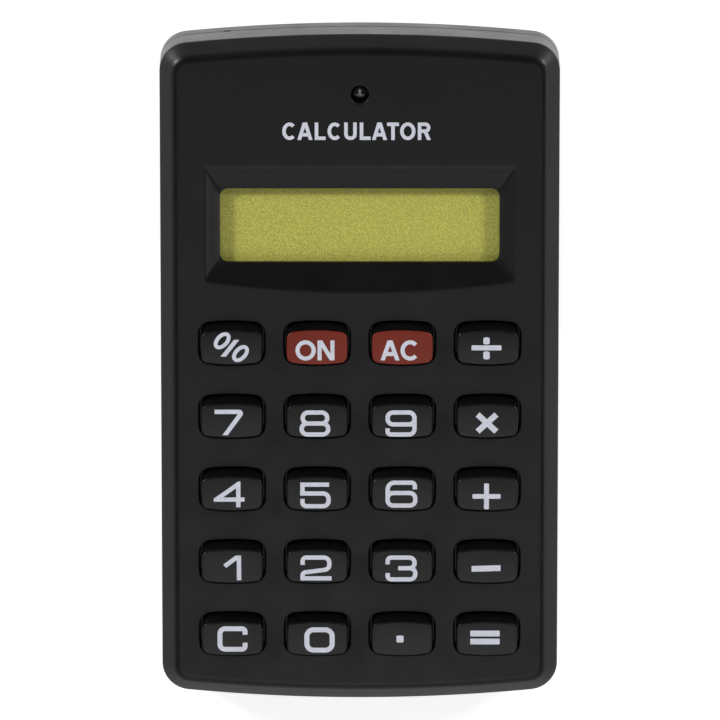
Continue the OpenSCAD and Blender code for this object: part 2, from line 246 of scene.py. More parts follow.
def bowed_box(x0, x1, y0, y1, radius, foot_bow):
    """A rectangle with round corners whose lower edge bows down by foot_bow."""
    corner_steps, across_steps, along_steps = 6, 20, 6
    points = []

    def line(ax, ay, bx, by, steps):
        for k in range(1, steps):
            points.append((ax + (bx - ax) * k / steps, ay + (by - ay) * k / steps))

    def corner(cx, cy, start):
        for k in range(corner_steps + 1):
            a = start + math.pi / 2 * k / corner_steps
            points.append((cx + radius * math.cos(a), cy + radius * math.sin(a)))

    corner(x1 - radius, y1 - radius, 0)
    line(x1 - radius, y1, x0 + radius, y1, across_steps)
    corner(x0 + radius, y1 - radius, math.pi / 2)
    line(x0, y1 - radius, x0, y0 + radius, along_steps)
    corner(x0 + radius, y0 + radius, math.pi)
    line(x0 + radius, y0, x1 - radius, y0, across_steps)
    corner(x1 - radius, y0 + radius, math.pi * 1.5)
    line(x1, y0 + radius, x1, y1 - radius, along_steps)
    middle_x, half = (x0 + x1) / 2, (x1 - x0) / 2
    low = y0 + radius
    return [
        (x, y - foot_bow * max(0.0, 1 - ((x - middle_x) / half) ** 2) * (1.0 if y < low + MATCH else 0.0))
        for x, y in points
    ]


def rounding(radius, *degrees):
    """Two drops from full size at each angle of a quarter turn: by its sine and by its cosine."""
    turns = [math.radians(a) for a in degrees]
    return [(radius * (1 - math.sin(t)), radius * (1 - math.cos(t))) for t in turns]


def circle(radius, steps):
    return [
        (radius * math.cos(2 * math.pi * k / steps), radius * math.sin(2 * math.pi * k / steps))
        for k in range(steps)
    ]


def moved(points, x, y):
    return [(px + x, py + y) for px, py in points]


# ---- Mesh work


def add_ring(bm, points, z):
    """A closed loop of vertices; z is a height or a function of x and y."""
    return [bm.verts.new((x, y, z(x, y) if callable(z) else z)) for x, y in points]


def bridge(bm, a, b):
    for k in range(len(a)):
        j = (k + 1) % len(a)
        bm.faces.new((a[k], a[j], b[j], b[k]))


def chain(bm, rings):
    for a, b in zip(rings, rings[1:]):
        bridge(bm, a, b)


def closed_chain(bm, rings):
    """Rings joined in order, with a flat face over each end."""
    chain(bm, rings)
    bm.faces.new(rings[0])
    bm.faces.new(rings[-1])


def loop_edges(bm, ring):
    edges = []
    for k, vert in enumerate(ring):
        following = ring[(k + 1) % len(ring)]
        edges.append(bm.edges.get((vert, following)) or bm.edges.new((vert, following)))
    return edges


def fill(bm, rings):
    """Flat triangles between an outer ring and the rings of the holes in it."""
    edges = [edge for ring in rings for edge in loop_edges(bm, ring)]
    bmesh.ops.triangle_fill(bm, use_beauty=True, use_dissolve=False, edges=edges)


def close_to_point(bm, ring, x, y, z):
    """A fan of triangles from a ring to one point."""
    tip = bm.verts.new((x, y, z))
    for k in range(len(ring)):
        bm.faces.new((ring[k], ring[(k + 1) % len(ring)], tip))


def add_box(bm, x0, x1, y0, y1, z0, z1):
    corners = [(x0, y0), (x1, y0), (x1, y1), (x0, y1)]
    closed_chain(bm, [add_ring(bm, corners, z) for z in (z0, z1)])


def add_tube(bm, x, y, outer, inner, z0, z1, steps=40):
    """A tube, or a plain rod where inner is 0."""
    rim = [add_ring(bm, moved(circle(outer, steps), x, y), z) for z in (z0, z1)]
    chain(bm, rim)
    if not inner:
        bm.faces.new(rim[0])
        bm.faces.new(rim[1])
        return
    bore = [add_ring(bm, moved(circle(inner, steps), x, y), z) for z in (z0, z1)]
    chain(bm, bore)
    bridge(bm, rim[0], bore[0])
    bridge(bm, rim[1], bore[1])


def lathe(bm, profile, steps):
    """Turns (radius, height) points about the Z axis; the first and last points lie on the axis."""
    rings = [add_ring(bm, circle(r, steps), z) for r, z in profile[1:-1]]
    chain(bm, rings)
    close_to_point(bm, rings[0], 0, 0, profile[0][1])
    close_to_point(bm, rings[-1], 0, 0, profile[-1][1])


def finish_mesh(bm, name, sharp=38.0):
    """A smooth-shaded object with its edges kept crisp where faces meet at more than sharp degrees."""
    bmesh.ops.recalc_face_normals(bm, faces=bm.faces[:])
    for face in bm.faces:
        face.smooth = True
    for edge in bm.edges:
        edge.smooth = edge.calc_face_angle(math.pi) < math.radians(sharp)
    mesh = bpy.data.meshes.new(name)
    bm.to_mesh(mesh)
    bm.free()
    obj = bpy.data.objects.new(name, mesh)
    bpy.context.scene.collection.objects.link(obj)
    return obj


def even_normals(obj):
    """Keeps big flat faces flat next to narrow rounded edges."""
    modifier = obj.modifiers.new("Even normals", "WEIGHTED_NORMAL")
    modifier.keep_sharp = True
    modifier.weight = 80


def carve(obj, operation, builder, *sizes):
    """Joins or cuts a shape into obj and keeps the result as plain mesh."""
    bm = bmesh.new()
    builder(bm, *sizes)
    tool = finish_mesh(bm, "tool")
    modifier = obj.modifiers.new("Carve", "BOOLEAN")
    modifier.operation = operation
    modifier.solver = "EXACT"
    modifier.object = tool
    graph = bpy.context.evaluated_depsgraph_get()
    result = bpy.data.meshes.new_from_object(obj.evaluated_get(graph))
    obj.modifiers.clear()
    spent = obj.data
    obj.data = result
    bpy.data.meshes.remove(spent)
    spent_tool = tool.data
    bpy.data.objects.remove(tool)
    bpy.data.meshes.remove(spent_tool)


def soften(obj, width):
    """Breaks the sharp edges of a carved shape."""
    bevel = obj.modifiers.new("Broken edges", "BEVEL")
    bevel.width = width
    bevel.segments = 2
    bevel.limit_method = "ANGLE"
    bevel.angle_limit = math.radians(50)
    bevel.miter_outer = "MITER_ARC"
    bevel.use_clamp_overlap = True
    even_normals(obj)


def reshade(obj, sharp=38.0):
    """Shades a carved mesh smooth, with crisp edges where it turns sharply."""
    bm = bmesh.new()
    bm.from_mesh(obj.data)
    bmesh.ops.dissolve_degenerate(bm, dist=MATCH * 0.1, edges=bm.edges[:])
    for face in bm.faces:
        face.smooth = True
    for edge in bm.edges:
        edge.smooth = len(edge.link_faces) == 2 and edge.calc_face_angle() < math.radians(sharp)
    bm.to_mesh(obj.data)
    bm.free()


def place(obj, material, body, slot, *nodes):
    """Gives a piece its finish and the body it moves with, and hides the nodes it stands for; slot is not
    used.
    """
    obj.data.materials.clear()
    obj.data.materials.append(material)
    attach(obj, body)
    if nodes:
        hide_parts(*nodes)


# ---- Materials


class Shader:
    """Short names for the few node patterns that the finishes share."""

    def __init__(self, name):
        self.material = bpy.data.materials.new(name)
        self.material.use_nodes = True
        self.tree = self.material.node_tree
        self.surface = self.tree.nodes["Principled BSDF"]
        self.place = self.tree.nodes.new("ShaderNodeTexCoord").outputs["Object"]

    def node(self, kind, **settings):
        made = self.tree.nodes.new(kind)
        for key, value in settings.items():
            setattr(made, key, value)
        return made

    def join(self, source, target):
        self.tree.links.new(source, target)

    def noise(self, per_metre, detail=2.0, rough=0.5):
        made = self.node("ShaderNodeTexNoise")
        made.inputs["Scale"].default_value = per_metre
        made.inputs["Detail"].default_value = detail
        made.inputs["Roughness"].default_value = rough
        self.join(self.place, made.inputs["Vector"])
        return made.outputs["Fac"]

    def cells(self, per_metre):
        """Distance from the middle of the nearest of many scattered cells."""
        made = self.node("ShaderNodeTexVoronoi")
        made.inputs["Scale"].default_value = per_metre
        self.join(self.place, made.inputs["Vector"])
        return made.outputs["Distance"]

    def ridges(self, per_metre, **settings):
        """Even stripes across the X axis."""
        made = self.node("ShaderNodeTexWave", bands_direction="X")
        for key, value in {"Scale": per_metre, **settings}.items():
            made.inputs[key].default_value = value
        self.join(self.place, made.inputs["Vector"])
        return made.outputs["Fac"]

    def spread(self, source, low, high, to_low, to_high):
        made = self.node("ShaderNodeMapRange")
        made.inputs["From Min"].default_value = low
        made.inputs["From Max"].default_value = high
        made.inputs["To Min"].default_value = to_low
        made.inputs["To Max"].default_value = to_high
        self.join(source, made.inputs["Value"])
        return made.outputs["Result"]

    def mix(self, amount, first, second):
        """Mixes two colours; each is a plain colour or a socket."""
        made = self.node("ShaderNodeMix", data_type="RGBA")
        pairs = ((made.inputs[0], amount), (made.inputs[6], first), (made.inputs[7], second))
        for socket, value in pairs:
            if isinstance(value, bpy.types.NodeSocket):
                self.join(value, socket)
            elif socket.type == "RGBA":
                socket.default_value = (*value, 1.0)
            else:
                socket.default_value = value
        return made.outputs[2]

    def product(self, first, second):
        made = self.node("ShaderNodeMath", operation="MULTIPLY")
        self.join(first, made.inputs[0])
        self.join(second, made.inputs[1])
        return made.outputs[0]

    def bump(self, height, depth, strength=1.0):
        made = self.node("ShaderNodeBump")
        made.inputs["Strength"].default_value = strength
        made.inputs["Distance"].default_value = depth
        self.join(height, made.inputs["Height"])
        self.join(made.outputs["Normal"], self.surface.inputs["Normal"])

    def colour(self, socket):
        self.join(socket, self.surface.inputs["Base Color"])

    def tones(self, source, low, high, first, second):
        """Base colour that runs from first to second as source runs from low to high."""
        self.colour(self.mix(self.spread(source, low, high, 0.0, 1.0), first, second))

    def gloss(self, source, smooth, rough):
        """Roughness that runs from smooth to rough over the middle of source."""
        self.join(self.spread(source, 0.3, 0.7, smooth, rough), self.surface.inputs["Roughness"])

    def set(self, **values):
        for key, value in values.items():
            self.surface.inputs[key.replace("_", " ")].default_value = value


def shade(value, factor):
    return tuple(min(1.0, part * factor) for part in value)


def moulded_plastic(name, base, rough, grain_per_metre, grain_depth, dust):
    """Moulded plastic: fine grain, slow drift in tone, polished patches and a little dust."""
    s = Shader(name)
    drift = s.noise(45.0, 3.0)
    tone = s.mix(s.spread(drift, 0.35, 0.65, 0.0, 1.0), shade(base, 0.9), shade(base, 1.12))
    speck = s.spread(s.cells(620.0), 0.045, 0.075, dust, 0.0)
    chosen = s.spread(s.noise(210.0, 0.0), 0.66, 0.70, 0.0, 1.0)
    lifted = tuple(min(1.0, part * 2.0 + 0.04) for part in base)
    s.colour(s.mix(s.product(speck, chosen), tone, lifted))
    s.gloss(s.noise(160.0, 4.0, 0.6), rough - 0.045, rough + 0.045)
    s.bump(s.noise(grain_per_metre, 2.0, 0.6), grain_depth * MM, 0.8)
    s.set(IOR=1.5, Specular_IOR_Level=0.38)


def screen_print(name, base):
    """Screen ink: slightly uneven film, a touch of pinholes."""
    s = Shader(name)
    s.tones(s.noise(900.0, 3.0), 0.35, 0.7, shade(base, 0.93), shade(base, 1.03))
    s.gloss(s.noise(1500.0), 0.42, 0.58)
    s.bump(s.noise(3500.0), 0.004 * MM)


def display_film(name, base):
    """Reflective display film: fine metallic sparkle over yellow-green, with paler clouds."""
    s = Shader(name)
    fine = s.noise(5200.0, 3.0, 0.7)
    clumps = s.noise(2300.0, 2.0, 0.6)
    grainy = s.mix(s.spread(fine, 0.40, 0.60, 0.0, 1.0), shade(base, 0.62), shade(base, 1.45))
    cloudy = s.mix(s.spread(clumps, 0.35, 0.65, 0.0, 0.45), grainy, shade(base, 0.86))
    s.colour(s.mix(s.spread(s.noise(40.0), 0.3, 0.7, 0.0, 0.35), cloudy, shade(base, 1.12)))
    s.gloss(fine, 0.38, 0.6)
    s.bump(fine, 0.01 * MM, 0.6)


def clear_window(name):
    """Clear moulded window with faint wipe marks."""
    s = Shader(name)
    s.set(Base_Color=(0.03, 0.03, 0.03, 1.0), Alpha=0.06, IOR=1.49)
    s.gloss(s.noise(120.0, 4.0), 0.06, 0.16)
    s.bump(s.noise(260.0, 3.0), 0.002 * MM, 0.5)
    s.material.surface_render_method = "BLENDED"


def thin_glass(name):
    """Pale green glass, a little smeared."""
    s = Shader(name)
    s.set(Base_Color=(0.75, 0.85, 0.8, 1.0), Alpha=0.35, IOR=1.52)
    s.gloss(s.noise(90.0, 3.0), 0.03, 0.1)
    s.material.surface_render_method = "BLENDED"


def plated_metal(name, base, rough):
    """Plated or rolled metal with fine drawn grain and small stains."""
    grain = 2400.0
    s = Shader(name)
    s.tones(s.noise(700.0, 4.0), 0.4, 0.75, base, shade(base, 0.72))
    s.gloss(s.noise(grain, 3.0), rough - 0.06, rough + 0.08)
    s.bump(s.noise(grain * 2.0), 0.004 * MM)
    s.set(Metallic=1.0)


def soft_rubber(name, base):
    """Dull rubber, foam, tape or carbon ink."""
    s = Shader(name)
    s.tones(s.noise(300.0, 3.0), 0.35, 0.65, shade(base, 0.88), shade(base, 1.08))
    s.gloss(s.noise(900.0, 3.0), 0.55, 0.75)
    s.bump(s.noise(2600.0, 3.0), 0.01 * MM)


def laminate_board(name, base):
    """Paper laminate: faint fibres running one way and a thin lacquer."""
    s = Shader(name)
    fibre = s.ridges(900.0, Distortion=6.0, Detail=3.0)
    s.tones(fibre, 0.2, 0.8, shade(base, 0.85), shade(base, 1.1))
    s.gloss(s.noise(500.0), 0.32, 0.5)
    s.bump(fibre, 0.006 * MM, 0.5)


def striped_rubber(name):
    """Thin conductive and insulating layers side by side."""
    s = Shader(name)
    layers = s.ridges(1600.0)
    s.tones(layers, 0.4, 0.6, (0.02, 0.02, 0.02), (0.45, 0.42, 0.4))
    s.gloss(s.noise(900.0), 0.5, 0.7)
    s.bump(layers, 0.006 * MM)


# ---- Case


def shoulder_rings(bm, case, low_z, face_z):
    """Rings from the parting line up the wall and over the sloped shoulder to the face."""
    flat, slope = case.shoulder_flat, case.shoulder_slope
    turn_r = (case.shoulder_width - flat) / math.sin(slope)
    start_z = face_z - turn_r * (1 - math.cos(slope)) - flat * math.tan(slope)
    edge, turn_steps, face_strip = 0.1 * MM, 7, 0.2 * MM
    profile = [(inset, low_z + rise) for rise, inset in rounding(case.parting_groove, 90, 45, 0)]
    profile += [(edge * t, start_z + edge * rise) for t, rise in ((0.0, -1.0), (0.12, -0.35), (0.5, 0.28))]
    profile += [(flat * t, start_z + flat * t * math.tan(slope)) for t in (0.1, 0.5, 0.95)]
    for k in range(turn_steps + 1):
        a = slope * (1 - k / turn_steps)
        profile.append((case.shoulder_width - turn_r * math.sin(a), face_z - turn_r * (1 - math.cos(a))))
    profile.append((case.shoulder_width + face_strip, face_z))
    rings = [add_ring(bm, case_outline(case, inset), z) for inset, z in profile]
    chain(bm, rings)
    return rings


def rounded_mouth(bm, outline_at, radius, face_z, bottom_z):
    """Rings of an opening with a rounded edge; outline_at gives its outline grown by a distance."""
    rings = [add_ring(bm, outline_at(radius + 0.1 * MM), face_z)]
    for grow, drop in rounding(radius, 0, 30, 60, 90):
        rings.append(add_ring(bm, outline_at(grow), face_z - drop))
    rings.append(add_ring(bm, outline_at(0.0), bottom_z))
    chain(bm, rings)
    return rings[0], rings[-1]


def recess_mouth(bm, display, face_z, ceiling_z):
    """Rings of the display opening: soft outer edge, sloped sides, rounded rim and the window's wall."""
    half_w = display.recess_width / 2
    depth = display.recess_depth
    win_w, win_l = display.window_width / 2, display.window_length / 2
    y0, y1 = display.window_y - win_l, display.window_y + win_l
    corner, soft, face_strip, rim_edge = 0.45 * MM, 0.25 * MM, 0.15 * MM, 0.1 * MM

    def window(grow):
        return bowed_box(-win_w - grow, win_w + grow, y0 - grow, y1 + grow, display.window_radius, 0.0)

    def blend_ring(t, z, grow=0.0):
        """Outline part of the way from the recess's edge (t=0) to the window (t=1)."""
        outer = bowed_box(
            -half_w - grow, half_w + grow, display.recess_foot - grow, display.recess_top + grow,
            corner + grow, display.recess_bow)
        points = [(a[0] + (b[0] - a[0]) * t, a[1] + (b[1] - a[1]) * t) for a, b in zip(outer, window(0.0))]
        return add_ring(bm, points, z)

    rings = [blend_ring(0.0, face_z, soft + face_strip), blend_ring(0.0, face_z, soft)]
    rings += [blend_ring(t, face_z - depth * d) for t, d in (
        (0.03, 0.006), (0.09, 0.07), (0.3, 0.3), (0.6, 0.6), (0.9, 0.9))]
    for grow, drop in rounding(rim_edge, 0, 45, 90):
        rings.append(add_ring(bm, window(grow), face_z - depth - drop))
    rings.append(add_ring(bm, window(0.0), ceiling_z))
    chain(bm, rings)
    return rings[0], rings[-1]


class CALC_OT_front_shell(Operator):
    """Builds the front shell with its shoulders, display recess, key openings and posts"""
    bl_idname = "calc.front_shell"
    bl_label = "Front shell"

    def execute(self, context):
        case = context.scene.calc_case
        display = context.scene.calc_display
        keys = context.scene.calc_keys
        low_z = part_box("front_case")[0].z
        face_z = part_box("front_case")[1].z
        ceiling_z = face_z - case.face_thickness
        bm = bmesh.new()
        outer = shoulder_rings(bm, case, low_z, face_z)
        openings = []
        for node, _ in KEYS:
            spot = middle(node)

            def key_outline(grow, spot=spot):
                points = barrel(keys.hole_width, keys.hole_length, 1.4 * MM, keys.bow, 0.1 * MM, -grow)
                return moved(points, spot.x, spot.y)

            openings.append(rounded_mouth(bm, key_outline, case.hole_round, face_z, ceiling_z))
        openings.append(recess_mouth(bm, display, face_z, ceiling_z))
        openings.append(self.screw_well(bm, face_z, ceiling_z))
        inner = [add_ring(bm, case_outline(case, case.wall), z) for z in (low_z, ceiling_z)]
        chain(bm, inner)
        bridge(bm, outer[0], inner[0])
        fill(bm, [outer[-1]] + [mouth for mouth, _ in openings])
        fill(bm, [inner[1]] + [hole for _, hole in openings])
        self.posts(bm, ceiling_z)
        obj = finish_mesh(bm, "front_shell")
        even_normals(obj)
        place(obj, bpy.data.materials["case plastic"], CASE, "case_plastic", "front_case")
        return {"FINISHED"}

    def screw_well(self, bm, face_z, ceiling_z):
        """The counterbored hole of the case screw and the spacer tube under it."""
        spot = middle("case_screw")
        seat_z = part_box("case_screw")[1].z - SCREW_HEAD
        foot_z = 4.5 * MM
        well, shank, tube, edge = 1.35 * MM, 0.85 * MM, 2.6 * MM, 0.12 * MM
        rings = [(well + edge * 1.8, face_z)]
        rings += [(well + grow, face_z - drop) for grow, drop in rounding(edge, 0, 30, 60, 90)]
        rings += [(well, seat_z), (shank, seat_z), (shank, foot_z), (tube, foot_z), (tube, ceiling_z)]
        made = [add_ring(bm, moved(circle(r, 40), spot.x, spot.y), z) for r, z in rings]
        chain(bm, made)
        return made[0], made[-1]

    def posts(self, bm, ceiling_z):
        """Posts for the board screws and the tray round the display."""
        foot_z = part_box("circuit_board")[1].z + 0.02 * MM
        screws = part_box("board_screws")
        head_r = 1.3 * MM
        half_x = screws[1].x - head_r
        column = middle("key_plus").x - middle("key_6").x
        rows = [key_middle(node).y for node in ("key_percent", "key_7", "key_1", "key_clear")]
        sites = [(s * column, (rows[a] + rows[a + 1]) / 2) for s in (-1, 1) for a in (0, 2)]
        sites += [(s * half_x, screws[1].y - head_r) for s in (-1, 1)]
        for x, y in sites:
            add_tube(bm, x, y, 1.5 * MM, SCREW_BORE, foot_z, ceiling_z)
        low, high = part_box("lcd_upper_glass")
        gap, wall = 0.3 * MM, 1.0 * MM
        frames = [
            bowed_box(low.x - g, high.x + g, low.y - g, high.y + g, 0.2 * MM, 0.0) for g in (gap, gap + wall)
        ]
        section = ((0, foot_z), (1, foot_z), (1, ceiling_z), (0, ceiling_z))
        rings = [add_ring(bm, frames[side], z) for side, z in section]
        chain(bm, rings)
        bridge(bm, rings[-1], rings[0])


class CALC_OT_back_shell(Operator):
    """Builds the back shell with its lip, cell well and the slot of the battery door"""
    bl_idname = "calc.back_shell"
    bl_label = "Back shell"

    def execute(self, context):
        case = context.scene.calc_case
        split_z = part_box("front_case")[0].z
        land_z = split_z - case.parting_gap
        lip = case.wall + case.lip_gap
        lip_z = split_z + case.lip_height
        profile = rounding(case.back_round, 0, 22.5, 45, 67.5, 90)
        profile += [(inset, land_z - drop) for drop, inset in rounding(case.parting_groove, 0, 45, 90)]
        profile += [(lip, land_z), (lip, lip_z)]
        profile += [(lip + case.lip_thickness, z) for z in (lip_z, case.floor_thickness)]
        bm = bmesh.new()
        closed_chain(bm, [add_ring(bm, case_outline(case, inset), z) for inset, z in profile])
        obj = finish_mesh(bm, "back_shell")
        self.fittings(obj, case)
        reshade(obj)
        even_normals(obj)
        place(obj, bpy.data.materials["case plastic"], CASE, "case_plastic", "back_case")
        return {"FINISHED"}

    def fittings(self, obj, case):
        """Joins the blocks and ribs to the floor, then cuts the door's slot, the cell well and the notch."""
        foot_z = case.floor_thickness - 0.1 * MM
        cell = middle("button_cell")
        low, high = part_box("button_cell")
        cell_r = (high.x - low.x) / 2
        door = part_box(DOOR)[1]
        screw = middle("case_screw")
        half_l = case_half()[1]
        foot_y = -half_l - PAST
        block_z, rail_z, rib_z = 4.4 * MM, 2.4 * MM, 2.6 * MM
        bay_z = door.z + 0.2 * MM
        tongue_z = door.z - 0.65 * MM
        leaf = door.x - TONGUE_REACH
        door_y = DOOR_END + DOOR_GAP
        rib_x, rib_half = 18 * MM, 0.5 * MM
        notch_x, notch_half = -19.2 * MM, 0.5 * MM
        carve(obj, "DIFFERENCE", add_box, notch_x - notch_half, notch_x + notch_half,
              half_l - 1.4 * MM, half_l + PAST, 2.75 * MM, 4 * MM)
        carve(obj, "UNION", add_box, -10.2 * MM, 10.2 * MM, -43.6 * MM, -28.6 * MM, foot_z, block_z)
        for side in (-1, 1):
            rail = side * (leaf + 1.1 * MM)
            carve(obj, "UNION", add_box, rail - 1.2 * MM, rail + 1.2 * MM,
                  -48 * MM, -43.5 * MM, foot_z, rail_z)
            carve(obj, "UNION", add_box, side * rib_x - rib_half, side * rib_x + rib_half,
                  -20 * MM, 34 * MM, foot_z, rib_z)
        carve(obj, "UNION", add_tube, screw.x, screw.y, 2.3 * MM, SCREW_BORE, foot_z, block_z)
        carve(obj, "DIFFERENCE", add_box, -leaf - DOOR_GAP, leaf + DOOR_GAP, foot_y, door_y, -PAST, bay_z)
        carve(obj, "DIFFERENCE", add_box, -door.x - DOOR_GAP, door.x + DOOR_GAP,
              foot_y, door_y, tongue_z, bay_z)
        carve(obj, "DIFFERENCE", add_box, -4.3 * MM, 4.3 * MM,
              door_y - PAST, door_y + 1.25 * MM, tongue_z, bay_z + 0.2 * MM)
        carve(obj, "DIFFERENCE", add_tube, cell.x, cell.y, cell_r + 0.2 * MM, 0,
              bay_z - PAST, block_z + PAST, 64)
        carve(obj, "DIFFERENCE", add_box, -1.8 * MM, 1.8 * MM,
              cell.y, cell.y + cell_r + 0.9 * MM, bay_z + 0.4 * MM, block_z + PAST)


class CALC_OT_battery_door(Operator):
    """Builds the sliding battery door with its tongues, thumb grooves and arrow"""
    bl_idname = "calc.battery_door"
    bl_label = "Battery door"

    def execute(self, context):
        case = context.scene.calc_case
        low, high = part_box(DOOR)
        leaf = high.x - TONGUE_REACH
        foot_y = -case_half()[1] - PAST
        tongue_z = high.z - 0.6 * MM
        bm = bmesh.new()
        add_box(bm, -leaf, leaf, foot_y, DOOR_END, low.z, high.z)
        obj = finish_mesh(bm, "sliding_battery_door")
        for side in (-1, 1):
            inner, outer = sorted((side * (leaf - 0.3 * MM), side * high.x))
            carve(obj, "UNION", add_box, inner, outer, foot_y, DOOR_END, tongue_z, high.z)
        carve(obj, "UNION", add_box, -4 * MM, 4 * MM, -29 * MM, high.y, tongue_z, high.z)
        carve(obj, "INTERSECT", self.end_shape, case, low.z)
        first_groove, groove_pitch = -46.2 * MM, 1.35 * MM
        for k in range(5):
            carve(obj, "DIFFERENCE", self.thumb_groove, first_groove + groove_pitch * k, low.z)
        carve(obj, "DIFFERENCE", self.arrow, -37.0 * MM, low.z)
        reshade(obj)
        soften(obj, 0.07 * MM)
        place(obj, bpy.data.materials["case plastic"], DOOR, "case_plastic", DOOR)
        return {"FINISHED"}

    def end_shape(self, bm, case, low_z):
        """The case's outline with its rounded back edge, which trims the door's outer end."""
        inside = 0.05 * MM
        rings = [
            add_ring(bm, case_outline(case, inset + inside), rise * 0.9 + low_z * 0.5)
            for inset, rise in rounding(case.back_round, 0, 30, 60, 90)
        ]
        rings.append(add_ring(bm, case_outline(case, inside), 3 * MM))
        closed_chain(bm, rings)

    def thumb_groove(self, bm, y, low_z):
        """A long groove with sloped sides."""
        half, width, depth, slope = 4.6 * MM, 0.35 * MM, 0.4 * MM, 0.2 * MM
        mouth = bowed_box(-half, half, y - width, y + width, width * 0.96, 0.0)
        deep = bowed_box(-half + slope, half - slope, y - width * 0.4, y + width * 0.4, width * 0.38, 0.0)
        section = ((mouth, low_z - PAST), (mouth, low_z), (deep, low_z + depth))
        closed_chain(bm, [add_ring(bm, outline, z) for outline, z in section])

    def arrow(self, bm, y, low_z):
        """A sunk triangle that points the way the door slides."""
        half, back, tip, depth = 2.1 * MM, 1.5 * MM, 1.4 * MM, 0.3 * MM
        corners = [(-half, y + back), (0.0, y - tip), (half, y + back)]
        closed_chain(bm, [add_ring(bm, corners, z) for z in (low_z - PAST, low_z + depth)])


# ---- Keys and print


def cap_height(node):
    """Height of a key's gently crowned top as a function of x and y."""
    keys = bpy.context.scene.calc_keys
    spot = key_middle(node)
    top_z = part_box(node)[1].z
    half_w, half_l = keys.top_width / 2, keys.top_length / 2

    def height(x, y):
        return top_z - keys.crown * (((x - spot.x) / half_w) ** 2 + ((y - spot.y) / half_l) ** 2)

    return height


class CALC_OT_keys(Operator):
    """Builds the twenty key caps with flange, neck, drafted sides and a softly crowned top"""
    bl_idname = "calc.keys"
    bl_label = "Keys"

    def execute(self, context):
        keys = context.scene.calc_keys
        for node, _ in KEYS:
            red = node in RED_KEYS
            obj = self.cap(node, keys)
            material = bpy.data.materials["red key plastic" if red else "black key plastic"]
            place(obj, material, node, "key_red" if red else "key_black", node)
            if red:
                self.black_skirt(obj, node, keys)
        return {"FINISHED"}

    def black_skirt(self, obj, node, keys):
        """Leaves only the top of a red key red; its sides stay black."""
        obj.data.materials.append(bpy.data.materials["black key plastic"])
        top_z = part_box(node)[1].z - keys.edge_round - 3 * keys.crown
        for face in obj.data.polygons:
            face.material_index = 0 if face.center.z > top_z else 1

    def cap(self, node, keys):
        low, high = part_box(node)
        spot = middle(node)
        face_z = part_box("front_case")[1].z
        flange_w, flange_l = high.x - low.x, high.y - low.y
        neck_w, neck_l = keys.hole_width - 2 * keys.gap, keys.hole_length - 2 * keys.gap
        flange_z = low.z + keys.flange_thickness
        height = cap_height(node)
        round_, soft = keys.edge_round, 0.1 * MM
        base_r, top_r = 1.2 * MM, 0.8 * MM
        base_side, top_side = 0.1 * MM, 0.06 * MM
        bm = bmesh.new()

        def ring(width, length_, radius, side, z, inset=0.0, drop=0.0):
            points = barrel(width, length_, radius, keys.bow, side, inset)
            return add_ring(bm, moved(points, spot.x, spot.y - drop), z)

        rings = [
            ring(width, length_, base_r, base_side, z, inset) for width, length_, z, inset in (
                (flange_w, flange_l, low.z, soft), (flange_w, flange_l, low.z + soft, 0.0),
                (flange_w, flange_l, flange_z - soft, 0.0), (flange_w, flange_l, flange_z, soft),
                (neck_w, neck_l, flange_z, 0.0), (neck_w, neck_l, face_z - 0.3 * MM, 0.0))
        ]
        start_z = face_z - 0.2 * MM
        drafts = 4
        for k in range(1, drafts + 1):
            t = k / drafts
            rings.append(ring(
                neck_w + (keys.top_width - neck_w) * t, neck_l + (keys.top_length - neck_l) * t,
                base_r + (top_r - base_r) * t, base_side + (top_side - base_side) * t,
                lambda x, y, t=t: start_z + (height(x, y) - round_ - start_z) * t, 0.0, keys.shift * t))
        for drop, inset in rounding(round_, 22.5, 45, 67.5, 90):
            rings.append(ring(
                keys.top_width, keys.top_length, top_r, top_side,
                lambda x, y, drop=drop: height(x, y) - drop, inset, keys.shift))
        inner_w, inner_l = keys.top_width - 2 * round_, keys.top_length - 2 * round_
        outline = barrel(inner_w, inner_l, top_r - round_, keys.bow, top_side)
        for f in (0.97, 0.7, 0.35):
            shrunk = moved([(x * f, y * f) for x, y in outline], spot.x, spot.y - keys.shift)
            rings.append(add_ring(bm, shrunk, height))
        chain(bm, rings)
        bm.faces.new(rings[0])
        peak_y = spot.y - keys.shift
        close_to_point(bm, rings[-1], spot.x, peak_y, height(spot.x, peak_y))
        obj = finish_mesh(bm, "cap_" + node[4:], 50.0)
        even_normals(obj)
        return obj


# Steps in each rounded corner of a sign, and the longest step along a line, in millimetres
ARC_STEPS = 8
LINE_STEP = 0.5
# Steps round a whole oval
RING_STEPS = 28


def turned(x, y, a):
    """A point turned about the origin by a."""
    return x * math.cos(a) - y * math.sin(a), x * math.sin(a) + y * math.cos(a)


def eased(points, closed=False):
    """Points (x, y) or (x, y, radius) with their corners turned into arcs of that radius."""
    out = []
    count = len(points)
    for k, point in enumerate(points):
        here = Vector(point[:2])
        radius = point[2] if len(point) > 2 else 0.0
        if not radius or (not closed and k in (0, count - 1)):
            out.append(here)
            continue
        back = Vector(points[k - 1][:2]) - here
        ahead = Vector(points[(k + 1) % count][:2]) - here
        half = back.angle(ahead) / 2
        reach = min(radius / math.tan(half), back.length * 0.499, ahead.length * 0.499)
        radius = reach * math.tan(half)
        bisector = (back.normalized() + ahead.normalized()).normalized()
        centre = here + bisector * radius / math.sin(half)
        start = here + back.normalized() * reach - centre
        end = here + ahead.normalized() * reach - centre
        turn = start.angle_signed(end)
        for step in range(ARC_STEPS + 1):
            out.append(centre + Vector(turned(start.x, start.y, -turn * step / ARC_STEPS)))
    return out


